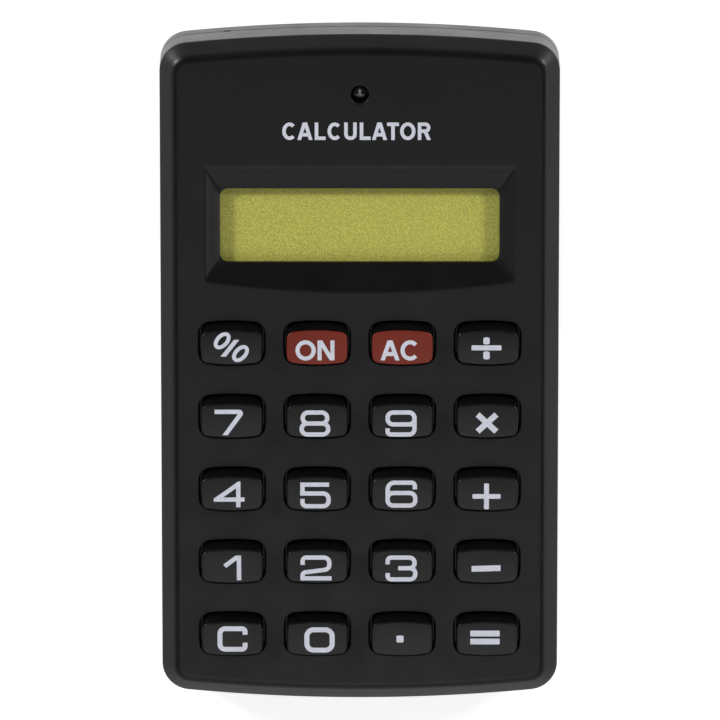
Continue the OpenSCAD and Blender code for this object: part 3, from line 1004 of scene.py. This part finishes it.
def stroke(points, width, closed=False):
    """Quads that follow a line of points at an even width, mitred where the line turns."""
    corners = eased(points, closed)
    corners = [p for k, p in enumerate(corners) if k == 0 or (p - corners[k - 1]).length > 1e-4]
    line = []
    for k, here in enumerate(corners):
        line.append(here)
        ahead = corners[(k + 1) % len(corners)] - here
        if closed or k < len(corners) - 1:
            steps = max(1, round(ahead.length / LINE_STEP))
            line += [here + ahead * step / steps for step in range(1, steps)]
    count = len(line)
    sides = []
    for k, here in enumerate(line):
        before = (here - line[k - 1]).normalized() if closed or k else None
        after = (line[(k + 1) % count] - here).normalized() if closed or k < count - 1 else None
        before, after = before or after, after or before
        across = Vector((-(before.y + after.y), before.x + after.x)).normalized()
        mitre = min(3.5, 1 / max(0.2, across.dot(Vector((-before.y, before.x)))))
        sides.append((here + across * width / 2 * mitre, here - across * width / 2 * mitre))
    quads = []
    for k in range(count if closed else count - 1):
        (a, b), (c, d) = sides[k], sides[(k + 1) % count]
        quads.append([a, b, d, c])
    return quads


def trimmed(polygon, axis, limit, sign):
    """The part of a polygon on one side of a line across an axis."""
    out = []
    for k, here in enumerate(polygon):
        before = polygon[k - 1]
        in_here, in_before = sign * (limit - here[axis]) >= 0, sign * (limit - before[axis]) >= 0
        if in_here != in_before:
            t = (limit - before[axis]) / (here[axis] - before[axis])
            out.append(before + (here - before) * t)
        if in_here:
            out.append(here)
    return out


def boxed(polygons, x0, x1, y0, y1):
    """The parts of polygons inside a rectangle."""
    kept = []
    for polygon in polygons:
        for axis, limit, sign in ((0, x0, -1), (0, x1, 1), (1, y0, -1), (1, y1, 1)):
            polygon = trimmed(polygon, axis, limit, sign) if polygon else polygon
        if len(polygon) > 2:
            kept.append(polygon)
    return kept


def sign_at(x, y, width, height, weight, *lines):
    """A sign from lines drawn in a unit box from -1 to 1; a line that ends with True is closed."""
    half_w, half_h = (width - weight) / 2, (height - weight) / 2
    polygons = []
    for line in lines:
        closed = line[-1] is True
        points = [(p[0] * half_w, p[1] * half_h, *p[2:]) for p in (line[:-1] if closed else line)]
        polygons += stroke(points, weight, closed)
    polygons = boxed(polygons, -width / 2, width / 2, -height / 2, height / 2)
    return [[p + Vector((x, y)) for p in polygon] for polygon in polygons]


def bar(x, y, width, height, radius=0.12, lean=0.0):
    """A plain rounded bar."""
    points = bowed_box(-width / 2, width / 2, -height / 2, height / 2, radius, 0.0)
    return [[Vector((x + px, y + py + px * lean)) for px, py in points]]


def oval(x, y, long, short, weight, lean):
    """An oval ring that leans by an angle in degrees."""
    points = []
    for k in range(RING_STEPS):
        a = 2 * math.pi * k / RING_STEPS
        px, py = turned(
            (long - weight) / 2 * math.cos(a), (short - weight) / 2 * math.sin(a), math.radians(lean))
        points.append((x + px, y + py))
    return stroke(points, weight, True)


def open_ring(x, y, width, height, weight, mouth):
    """A round C whose mouth opens by an angle in degrees above and below the X axis."""
    points = []
    for k in range(RING_STEPS + 1):
        a = math.radians(mouth + (360 - 2 * mouth) * k / RING_STEPS)
        points.append((x + (width - weight) / 2 * math.cos(a), y + (height - weight) / 2 * math.sin(a)))
    return stroke(points, weight)


def key_signs():
    """The printed signs, in millimetres from the middle of their key."""
    pen, bend = 0.64, 0.8
    return {
        "percent": oval(-1.36, 1.06, 2.95, 1.95, 0.56, 48) + oval(1.3, -0.86, 2.95, 1.95, 0.56, 48)
        + boxed(stroke([(0.98, 1.52), (-1.36, -1.5)], 0.62), -2, 2, -1.32, 1.2),
        "ON": oval(-1.66, -0.39, 2.95, 3.05, 0.6, 0) + sign_at(
            1.31, -0.39, 2.47, 3.0, 0.6,
            [(-1, -1.4), (-1, 1.4)], [(1, -1.4), (1, 1.4)], [(-1.25, 1.6), (1.25, -1.6)]),
        "AC": sign_at(
            -1.8, -0.39, 2.76, 3.0, 0.6,
            [(-1.1, -1.5), (0, 1.35), (1.1, -1.5)], [(-0.6, -0.45), (0.6, -0.45)])
        + open_ring(1.12, -0.39, 2.8, 3.05, 0.6, 42),
        "divide": bar(-0.2, 0, 4.36, 0.75)
        + bar(-0.2, 1.04, 0.95, 1.05, 0.3) + bar(-0.2, -1.14, 0.95, 1.2, 0.3),
        "7": sign_at(-0.26, -0.23, 4.5, 3.85, pen, [(-1.3, 1), (0.93, 1, 0.25), (-0.56, -1.5)]),
        "8": sign_at(
            -0.31, -0.38, 4.5, 3.95, pen,
            [(-0.92, 0, bend), (-0.92, 1, bend), (0.92, 1, bend), (0.92, 0, bend), True],
            [(-1, 0, bend), (-1, -1, bend), (1, -1, bend), (1, 0, bend), True]),
        "9": sign_at(
            -0.19, -0.38, 4.55, 3.95, pen,
            [(-1, -0.08, bend), (-1, 1, bend), (1, 1, bend), (1, -0.08, bend), True],
            [(1, 0.45), (1, -1, bend), (-1, -1, 0.7), (-1, -0.45)], [(0.4, -0.08), (1, -0.08)]),
        "times": stroke([(-1.46, -1.59), (1.28, 0.97)], 0.86) + stroke([(-1.46, 0.97), (1.28, -1.59)], 0.86),
        "4": sign_at(
            -0.44, -0.09, 4.5, 3.9, pen, [(-0.97, -0.48), (0.7, 0.96), (0.7, -0.48), True],
            [(0.7, 1), (0.7, -1.4)], [(-1, -0.48), (1.4, -0.48)]),
        "5": sign_at(
            -0.24, -0.24, 4.45, 3.9, pen,
            [(1.04, 1), (-1, 1), (-1, 0.18), (1, 0.18, bend), (1, -1, bend), (-1, -1, 0.7), (-1, -0.32)]),
        "6": sign_at(
            -0.12, -0.05, 4.67, 4.1, pen,
            [(-1, 0.1, bend), (-1, -1, bend), (1, -1, bend), (1, 0.1, bend), True],
            [(-1, -0.4), (-1, 1, 1.0), (0.97, 1, 0.7), (0.97, 0.42)], [(-1, 0.1), (-0.4, 0.1)]),
        "plus": bar(-0.13, -0.39, 4.1, 0.7) + bar(-0.13, -0.39, 0.72, 3.9),
        "1": sign_at(-0.04, -0.24, 2.7, 3.75, pen, [(-1.05, 0.17), (0.98, 1.18), (1, -1.5)]),
        "2": sign_at(
            -0.18, -0.24, 4.55, 3.8, pen,
            [(-1, 0.3), (-1, 1, 0.75), (1, 1, bend), (1, -0.12, bend), (-1, -0.45, bend), (-1, -1)],
            [(-1.3, -1), (1.3, -1)]),
        "3": sign_at(
            -0.1, -0.32, 4.68, 3.95, pen,
            [(-1, 0.38), (-1, 1, 0.7), (0.95, 1, bend), (0.95, 0.03, bend), (-0.24, 0.03)],
            [(-0.24, 0.03), (1, 0.03, bend), (1, -1, bend), (-1, -1, 0.7), (-1, -0.42)]),
        "minus": bar(-0.16, -0.32, 4.24, 0.88, 0.1, 0.03),
        "clear": sign_at(
            0, -0.05, 4.4, 3.85, 0.72,
            [(1, 0.42), (1, 1, 0.5), (-1, 1, 0.75), (-1, -1, 0.75), (1, -1, 0.5), (1, -0.36)]),
        "0": sign_at(0.32, -0.2, 4.45, 3.85, 0.74, [(-1, -1, 1), (-1, 1, 1), (1, 1, 1), (1, -1, 1), True]),
        "point": bar(-0.31, -0.05, 1.05, 1.05, 0.22),
        "equals": bar(-0.28, 0.79, 4.3, 0.88, 0.08) + bar(-0.28, -0.43, 4.3, 0.88, 0.08),
    }


def word_letters():
    """The word CALCULATOR in millimetres, each letter between its left and right side."""
    y, tall, pen = 35.97, 2.6, 0.52
    letters = []

    def spot(left, right):
        return (left + right) / 2, y, right - left, tall, pen

    for left, right in ((-11.2, -9.2), (-4.64, -2.66)):
        over = 0.12
        letters += open_ring((left + right) / 2 + over / 3, y, right - left + over, tall, pen, 46)
    for left, right in ((-9.01, -6.85), (1.8, 3.94)):
        letters += sign_at(
            *spot(left, right), [(-1.12, -1.5), (0, 1.4), (1.12, -1.5)], [(-0.6, -0.5), (0.6, -0.5)])
    for left, right in ((-6.52, -4.94), (0.0, 1.58)):
        letters += sign_at(*spot(left, right), [(-1, 1.4), (-1, -1), (1.5, -1)])
    letters += sign_at(*spot(-2.25, -0.43), [(-1, 1.4), (-1, -1, 0.62), (1, -1, 0.62), (1, 1.4)])
    letters += sign_at(*spot(3.96, 5.68), [(-1.6, 1), (1.6, 1)], [(0, 1), (0, -1.4)])
    letters += oval(6.96, y, 2.22, tall + 0.04, pen, 0)
    letters += sign_at(
        *spot(8.41, 10.36),
        [(-1, -1.4), (-1, 1), (0.82, 1, 0.5), (0.82, 0.02, 0.5), (-1, 0.02)], [(0.1, 0.02), (1.05, -1.5)])
    return letters


def printed(name, polygons, origin, height, thickness):
    """A thin raised print: overlapping polygons in millimetres, joined into one film on a surface."""
    points, faces = [], []
    for polygon in polygons:
        faces.append(list(range(len(points), len(points) + len(polygon))))
        points += [Vector((p[0], p[1])) for p in polygon]
    verts, _, tris, _, _, sources = geometry.delaunay_2d_cdt(points, [], faces, 0, 1e-4)
    bm = bmesh.new()
    top, low = [], []
    for p in verts:
        x, y = origin.x + p.x * MM, origin.y + p.y * MM
        z = height(x, y)
        top.append(bm.verts.new((x, y, z + thickness)))
        low.append(bm.verts.new((x, y, z - thickness)))
    for tri, source in zip(tris, sources):
        if source:
            bm.faces.new([top[k] for k in tri])
            bm.faces.new([low[k] for k in reversed(tri)])
    rim = [edge for edge in bm.edges if len(edge.link_faces) == 1 and edge.verts[0] in set(top)]
    below = dict(zip(top, low))
    for edge in rim:
        a, b = edge.verts
        bm.faces.new((a, b, below[b], below[a]))
    bmesh.ops.delete(bm, geom=[v for v in bm.verts if not v.link_faces], context="VERTS")
    return finish_mesh(bm, name, 45.0)


class CALC_OT_print(Operator):
    """Prints the signs on the keys and the word above the display"""
    bl_idname = "calc.print"
    bl_label = "Print"

    def execute(self, context):
        ink = bpy.data.materials["white print"]
        film = 0.022 * MM
        signs = key_signs()
        for node, sign in KEYS:
            obj = printed("print_" + node[4:], signs[sign], key_middle(node), cap_height(node), film)
            place(obj, ink, node, "key_print")
        face_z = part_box("front_case")[1].z
        word = printed("printed_word", word_letters(), Vector((0.0, 0.0)), lambda x, y: face_z, film)
        place(word, ink, CASE, "key_print")
        return {"FINISHED"}


# ---- Screw, keypad mat and display


class CALC_OT_case_screw(Operator):
    """Turns the case screw with its domed head and cross recess"""
    bl_idname = "calc.case_screw"
    bl_label = "Case screw"

    def execute(self, context):
        low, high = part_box("case_screw")
        spot = middle("case_screw")
        head_r = (high.x - low.x) / 2
        core, crest, pitch = 0.56 * MM, 0.74 * MM, 0.45 * MM
        rim, dome_steps, blade_half = 0.3 * MM, 8, (0.62 * MM, 0.15 * MM)
        seat = high.z - SCREW_HEAD
        profile = [(0.0, low.z), (core * 0.5, low.z + 0.05 * MM), (core, low.z + 0.5 * MM)]
        z = low.z + 0.7 * MM
        while z < seat - 1.6 * MM:
            profile += [(core, z), (crest, z + pitch * 0.42)]
            profile += [(crest, z + pitch * 0.55), (core, z + pitch * 0.97)]
            z += pitch
        profile += [(core, z), (crest * 0.93, z + 0.1 * MM), (crest * 0.93, seat), (head_r - 0.06 * MM, seat)]
        for k in range(dome_steps + 1):
            a = math.radians(90 * k / dome_steps)
            profile.append((head_r * math.cos(a * 0.97), seat + rim + (SCREW_HEAD - rim) * math.sin(a)))
        profile.append((0.0, high.z))
        bm = bmesh.new()
        lathe(bm, profile, 48)
        obj = finish_mesh(bm, "domed_case_screw", 32.0)
        carve(obj, "DIFFERENCE", self.blade, high.z, *blade_half)
        carve(obj, "DIFFERENCE", self.blade, high.z, *blade_half[::-1])
        obj.data.transform(Matrix.Translation((spot.x, spot.y, 0.0)))
        reshade(obj, 32.0)
        place(obj, bpy.data.materials["black screw steel"], CASE, "screw_steel", "case_screw")
        return {"FINISHED"}

    def blade(self, bm, top_z, half_x, half_y):
        """One blade of the cross, tapered toward its tip."""
        rings = []
        for grow, z in ((1.25, top_z + 0.3 * MM), (1.0, top_z - 0.1 * MM), (0.55, top_z - 0.6 * MM)):
            x, y = half_x * grow, half_y * grow
            rings.append(add_ring(bm, [(-x, -y), (x, -y), (x, y), (-x, y)], z))
        closed_chain(bm, rings)


def soft_block(name, low, high, corner, edge):
    """A block with round corners and soft edges."""
    turn = rounding(edge, 0, 45, 90)
    profile = [(inset, low.z + rise) for inset, rise in turn]
    profile += [(inset, high.z - drop) for inset, drop in reversed(turn)]
    bm = bmesh.new()
    rings = []
    for inset, z in profile:
        radius = max(corner - inset, edge * 0.2)
        outline = bowed_box(low.x + inset, high.x - inset, low.y + inset, high.y - inset, radius, 0.0)
        rings.append(add_ring(bm, outline, z))
    closed_chain(bm, rings)
    obj = finish_mesh(bm, name, 60.0)
    even_normals(obj)
    return obj


class CALC_OT_keypad_mat(Operator):
    """Builds the rubber mat and the domes that the keys push down"""
    bl_idname = "calc.keypad_mat"
    bl_label = "Keypad mat"

    def execute(self, context):
        rubber = bpy.data.materials["keypad rubber"]
        low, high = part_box("rubber_keypad")
        sheet_z = low.z + 0.5 * MM
        dome_r = 3.3 * MM
        bm = bmesh.new()
        sheet = bowed_box(low.x, high.x, low.y, high.y, 1.0 * MM, 0.0)
        edges = [add_ring(bm, sheet, z) for z in (low.z, sheet_z)]
        chain(bm, edges)
        sites = [(key_middle(node), dome_r + 0.05 * MM) for node, _ in KEYS]
        column = middle("key_plus").x - middle("key_6").x
        for upper, lower in (("key_percent", "key_7"), ("key_1", "key_clear")):
            y = (key_middle(upper).y + key_middle(lower).y) / 2
            sites += [(Vector((side * column, y, 0)), 1.8 * MM) for side in (-1, 1)]
        bores = []
        for spot, radius in sites:
            bore = [add_ring(bm, moved(circle(radius, 32), spot.x, spot.y), z) for z in (low.z, sheet_z)]
            chain(bm, bore)
            bores.append(bore)
        for level in (0, 1):
            fill(bm, [edges[level]] + [bore[level] for bore in bores])
        place(finish_mesh(bm, "rubber_mat", 50.0), rubber, CASE, "keypad_rubber", "rubber_keypad")
        for joint in frame["joints"]:
            if joint["child"] != DOOR:
                self.dome(joint, low.z, high.z, dome_r, rubber)
        return {"FINISHED"}

    def dome(self, joint, foot_z, top_z, radius, rubber):
        """A dome and its carbon pill."""
        node = joint["child"]
        spot = key_middle(node)
        crown = 2.3 * MM
        outer = [
            (radius, foot_z), (radius, foot_z + 0.4 * MM), (radius - 0.15 * MM, foot_z + 0.55 * MM),
            (crown + 0.12 * MM, top_z - 0.2 * MM), (crown, top_z - 0.05 * MM), (crown - 0.15 * MM, top_z)]
        inner = [(1.8 * MM, top_z - 0.35 * MM), (2.8 * MM, foot_z)]
        pill = [(1.5 * MM, top_z - 0.6 * MM), (1.5 * MM, top_z - 0.35 * MM)]
        bm = bmesh.new()
        profile = outer[::-1] + inner[::-1] + pill[::-1]
        closed_chain(bm, [add_ring(bm, moved(circle(r, 40), spot.x, spot.y), z) for r, z in profile])
        obj = finish_mesh(bm, "rubber_dome_" + node[4:], 50.0)
        place(obj, rubber, CASE, "keypad_rubber", "rubber_keypad")
        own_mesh(obj)


def finish_nodes(finishes):
    """Gives nodes that keep the frame's own mesh their materials."""
    for material, nodes in finishes:
        for node in nodes:
            for slot in frame["nodes"][node].material_slots:
                slot.material = bpy.data.materials[material]


class CALC_OT_display(Operator):
    """Finishes the window, film and glass of the display and builds its soft parts"""
    bl_idname = "calc.display"
    bl_label = "Display"

    def execute(self, context):
        finish_nodes((
            ("clear window", ("display_lens",)),
            ("black tape", ("lens_adhesive",)),
            ("display film", ("front_polarizer", "rear_reflector")),
            ("display glass", ("lcd_upper_glass", "lcd_lower_glass")),
        ))
        pad = soft_block("foam_pad", *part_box("lcd_foam_pad"), 0.8 * MM, 0.05 * MM)
        place(pad, bpy.data.materials["grey foam"], CASE, "foam", "lcd_foam_pad")
        strip = soft_block("striped_connector", *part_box("zebra_connector"), 0.2 * MM, 0.12 * MM)
        place(strip, bpy.data.materials["striped rubber"], CASE, "keypad_rubber", "zebra_connector")
        return {"FINISHED"}


class CALC_OT_electronics(Operator):
    """Finishes the board, its parts, the cell and its contacts"""
    bl_idname = "calc.electronics"
    bl_label = "Electronics"

    def execute(self, context):
        finish_nodes((
            ("board laminate", ("circuit_board",)),
            ("carbon ink", ("key_contacts", "resistor")),
            ("potting resin", ("chip_blob",)),
            ("brown ceramic", ("capacitors",)),
            ("cell steel", ("button_cell",)),
            ("spring bronze", ("battery_contact_positive", "battery_contact_negative")),
            ("zinc screw steel", ("board_screws",)),
        ))
        return {"FINISHED"}


RUBBERS = (
    ("black tape", (0.012, 0.012, 0.012)),
    ("grey foam", (0.08, 0.08, 0.085)),
    ("keypad rubber", (0.30, 0.30, 0.29)),
    ("carbon ink", (0.02, 0.02, 0.021)),
)
# Name, colour and roughness
METALS = (
    ("cell steel", (0.62, 0.61, 0.59), 0.3),
    ("spring bronze", (0.62, 0.42, 0.2), 0.34),
    ("black screw steel", (0.50, 0.48, 0.45), 0.28),
    ("zinc screw steel", (0.55, 0.55, 0.53), 0.36),
)


class CALC_OT_finishes(Operator):
    """Mixes the finishes of all parts"""
    bl_idname = "calc.finishes"
    bl_label = "Finishes"

    def execute(self, context):
        tones = context.scene.calc_finishes
        moulded_plastic("case plastic", tuple(tones.case_black), 0.34, 5200.0, 0.0045, 0.5)
        moulded_plastic("black key plastic", tuple(tones.key_black), 0.25, 4200.0, 0.003, 0.6)
        moulded_plastic("red key plastic", tuple(tones.key_red), 0.36, 4200.0, 0.003, 0.15)
        moulded_plastic("potting resin", (0.012, 0.012, 0.012), 0.22, 900.0, 0.01, 0.0)
        moulded_plastic("brown ceramic", (0.23, 0.12, 0.06), 0.3, 2600.0, 0.006, 0.0)
        screen_print("white print", tuple(tones.print_white))
        display_film("display film", tuple(tones.display_film))
        clear_window("clear window")
        thin_glass("display glass")
        laminate_board("board laminate", (0.19, 0.075, 0.022))
        striped_rubber("striped rubber")
        for name, base in RUBBERS:
            soft_rubber(name, base)
        for name, base, rough in METALS:
            plated_metal(name, base, rough)
        return {"FINISHED"}


# ---- Stage


# Soft lights: name, where each one hangs, side of its square and brightness of its surface
LIGHTS = (
    ("overhead", (0.0, -0.64, 1.14), 0.8, 1.05),
    ("left window", (-1.15, 0.75, 0.8), 0.26, 52.0),
    ("right window", (1.2, 0.7, 0.8), 0.26, 35.0),
    ("right wall", (1.25, -0.1, 0.8), 0.6, 1.3),
)
# Brightness of the room near the horizon and overhead, and the share of it left at the foot and the head
HORIZON = 0.84
ZENITH = 0.04
FOOT_SHARE = 0.6
HEAD_SHARE = 0.35
# Light that the paper gives back by itself
GLOW = 0.66


class CALC_OT_stage(Operator):
    """Sets up the pale floor, the soft lights and the camera"""
    bl_idname = "calc.stage"
    bl_label = "Stage"

    def execute(self, context):
        scene = context.scene
        stage = scene.calc_stage
        self.floor()
        for name, spot, size, brightness in LIGHTS:
            light = bpy.data.lights.new(name, "AREA")
            light.shape = "SQUARE"
            light.size = size
            light.energy = brightness * math.pi * size * size
            lamp = bpy.data.objects.new(name, light)
            lamp.location = spot
            lamp.rotation_mode = "QUATERNION"
            lamp.rotation_quaternion = Vector(spot).to_track_quat("Z", "Y")
            lamp.visible_camera = False
            scene.collection.objects.link(lamp)
        scene.world = self.room()
        self.camera(scene, stage)
        scene.view_settings.view_transform = "Standard"
        return {"FINISHED"}

    def room(self):
        """Even light that is bright near the horizon, dim overhead and weaker toward both ends."""
        world = bpy.data.worlds.new("studio")
        world.use_nodes = True
        tree = world.node_tree
        place = tree.nodes.new("ShaderNodeTexCoord")
        parts = tree.nodes.new("ShaderNodeSeparateXYZ")
        tree.links.new(place.outputs["Generated"], parts.inputs["Vector"])

        def ramp(axis, low, high, to_low, to_high):
            made = tree.nodes.new("ShaderNodeMapRange")
            ends = {"From Min": low, "From Max": high, "To Min": to_low, "To Max": to_high}
            for key, value in ends.items():
                made.inputs[key].default_value = value
            tree.links.new(parts.outputs[axis], made.inputs["Value"])
            return made

        fade = ramp("Z", 0.4, 0.75, HORIZON, ZENITH)
        fade.interpolation_type = "SMOOTHSTEP"
        strength = fade.outputs["Result"]
        for side, share in ((-1.0, FOOT_SHARE), (1.0, HEAD_SHARE)):
            both = tree.nodes.new("ShaderNodeMath")
            both.operation = "MULTIPLY"
            tree.links.new(strength, both.inputs[0])
            tree.links.new(ramp("Y", 0.0, side, 1.0, share).outputs["Result"], both.inputs[1])
            strength = both.outputs["Value"]
        backdrop = tree.nodes["Background"]
        backdrop.inputs["Color"].default_value = (1.0, 1.0, 1.0, 1.0)
        tree.links.new(strength, backdrop.inputs["Strength"])
        return world

    def floor(self):
        """A pale paper sweep under the case, which curves up behind it."""
        half, near, curve, curve_steps = 3.0, 1.0, 1.2, 12
        side = half * 1.5
        bm = bmesh.new()
        profile = [(-half, 0.0), (-near, 0.0), (near, 0.0), (half, 0.0)]
        for k in range(1, curve_steps + 1):
            a = math.pi / 2 * k / curve_steps
            profile.append((half + curve * math.sin(a), curve * (1 - math.cos(a))))
        rows = [[bm.verts.new((x, y, z)) for x in (-side, -near, near, side)] for y, z in profile]
        for a, b in zip(rows, rows[1:]):
            for k in range(3):
                bm.faces.new((a[k], a[k + 1], b[k + 1], b[k]))
        sweep = finish_mesh(bm, "paper_sweep", 60.0)
        s = Shader("floor paper")
        s.tones(s.noise(14.0, 3.0), 0.3, 0.7, (0.86, 0.86, 0.86), (0.89, 0.89, 0.89))
        s.bump(s.noise(1800.0, 3.0), 0.01 * MM, 0.3)
        s.set(Roughness=0.75, Emission_Color=(1.0, 1.0, 1.0, 1.0), Emission_Strength=GLOW)
        sweep.data.materials.append(s.material)

    def camera(self, scene, stage):
        """A long lens that looks down on the face from a little toward the display end."""
        data = bpy.data.cameras.new("camera")
        data.lens = stage.lens
        data.sensor_width = 36.0
        data.shift_x = stage.shift_x
        data.shift_y = stage.shift_y
        data.clip_start, data.clip_end = 0.05, 20.0
        data.dof.use_dof = False
        camera = bpy.data.objects.new("camera", data)
        back = Vector((0.0, math.sin(stage.tilt), math.cos(stage.tilt)))
        camera.location = back * stage.distance + Vector((0.0, 0.0, stage.aim_height))
        camera.rotation_mode = "XYZ"
        camera.rotation_euler = (-stage.tilt, 0.0, 0.0)
        scene.collection.objects.link(camera)
        scene.camera = camera


# ---- Panel


OPERATORS = (
    CALC_OT_finishes, CALC_OT_front_shell, CALC_OT_back_shell, CALC_OT_battery_door,
    CALC_OT_keys, CALC_OT_print, CALC_OT_case_screw, CALC_OT_keypad_mat,
    CALC_OT_display, CALC_OT_electronics, CALC_OT_stage,
)


class CALC_PT_sidebar(Panel):
    """Lists the calculator's pieces and their sizes"""
    bl_idname = "CALC_PT_sidebar"
    bl_label = "Pocket calculator"
    bl_space_type = "VIEW_3D"
    bl_region_type = "UI"
    bl_category = "Calculator"

    def draw(self, context):
        for operator in OPERATORS:
            self.layout.operator(operator.bl_idname)
        for name in SETTING_NAMES:
            settings = getattr(context.scene, name)
            box = self.layout.box()
            for key in settings.__annotations__:
                box.prop(settings, key)


CLASSES = SETTINGS + OPERATORS + (CALC_PT_sidebar,)


def register():
    for cls in CLASSES:
        bpy.utils.register_class(cls)
    for name, cls in zip(SETTING_NAMES, SETTINGS):
        setattr(bpy.types.Scene, name, PointerProperty(type=cls))


def unregister():
    for name in SETTING_NAMES:
        delattr(bpy.types.Scene, name)
    for cls in reversed(CLASSES):
        bpy.utils.unregister_class(cls)


def main():
    register()
    for operator in OPERATORS:
        group, name = operator.bl_idname.split(".")
        getattr(getattr(bpy.ops, group), name)()


if __name__ == "__main__":
    main()
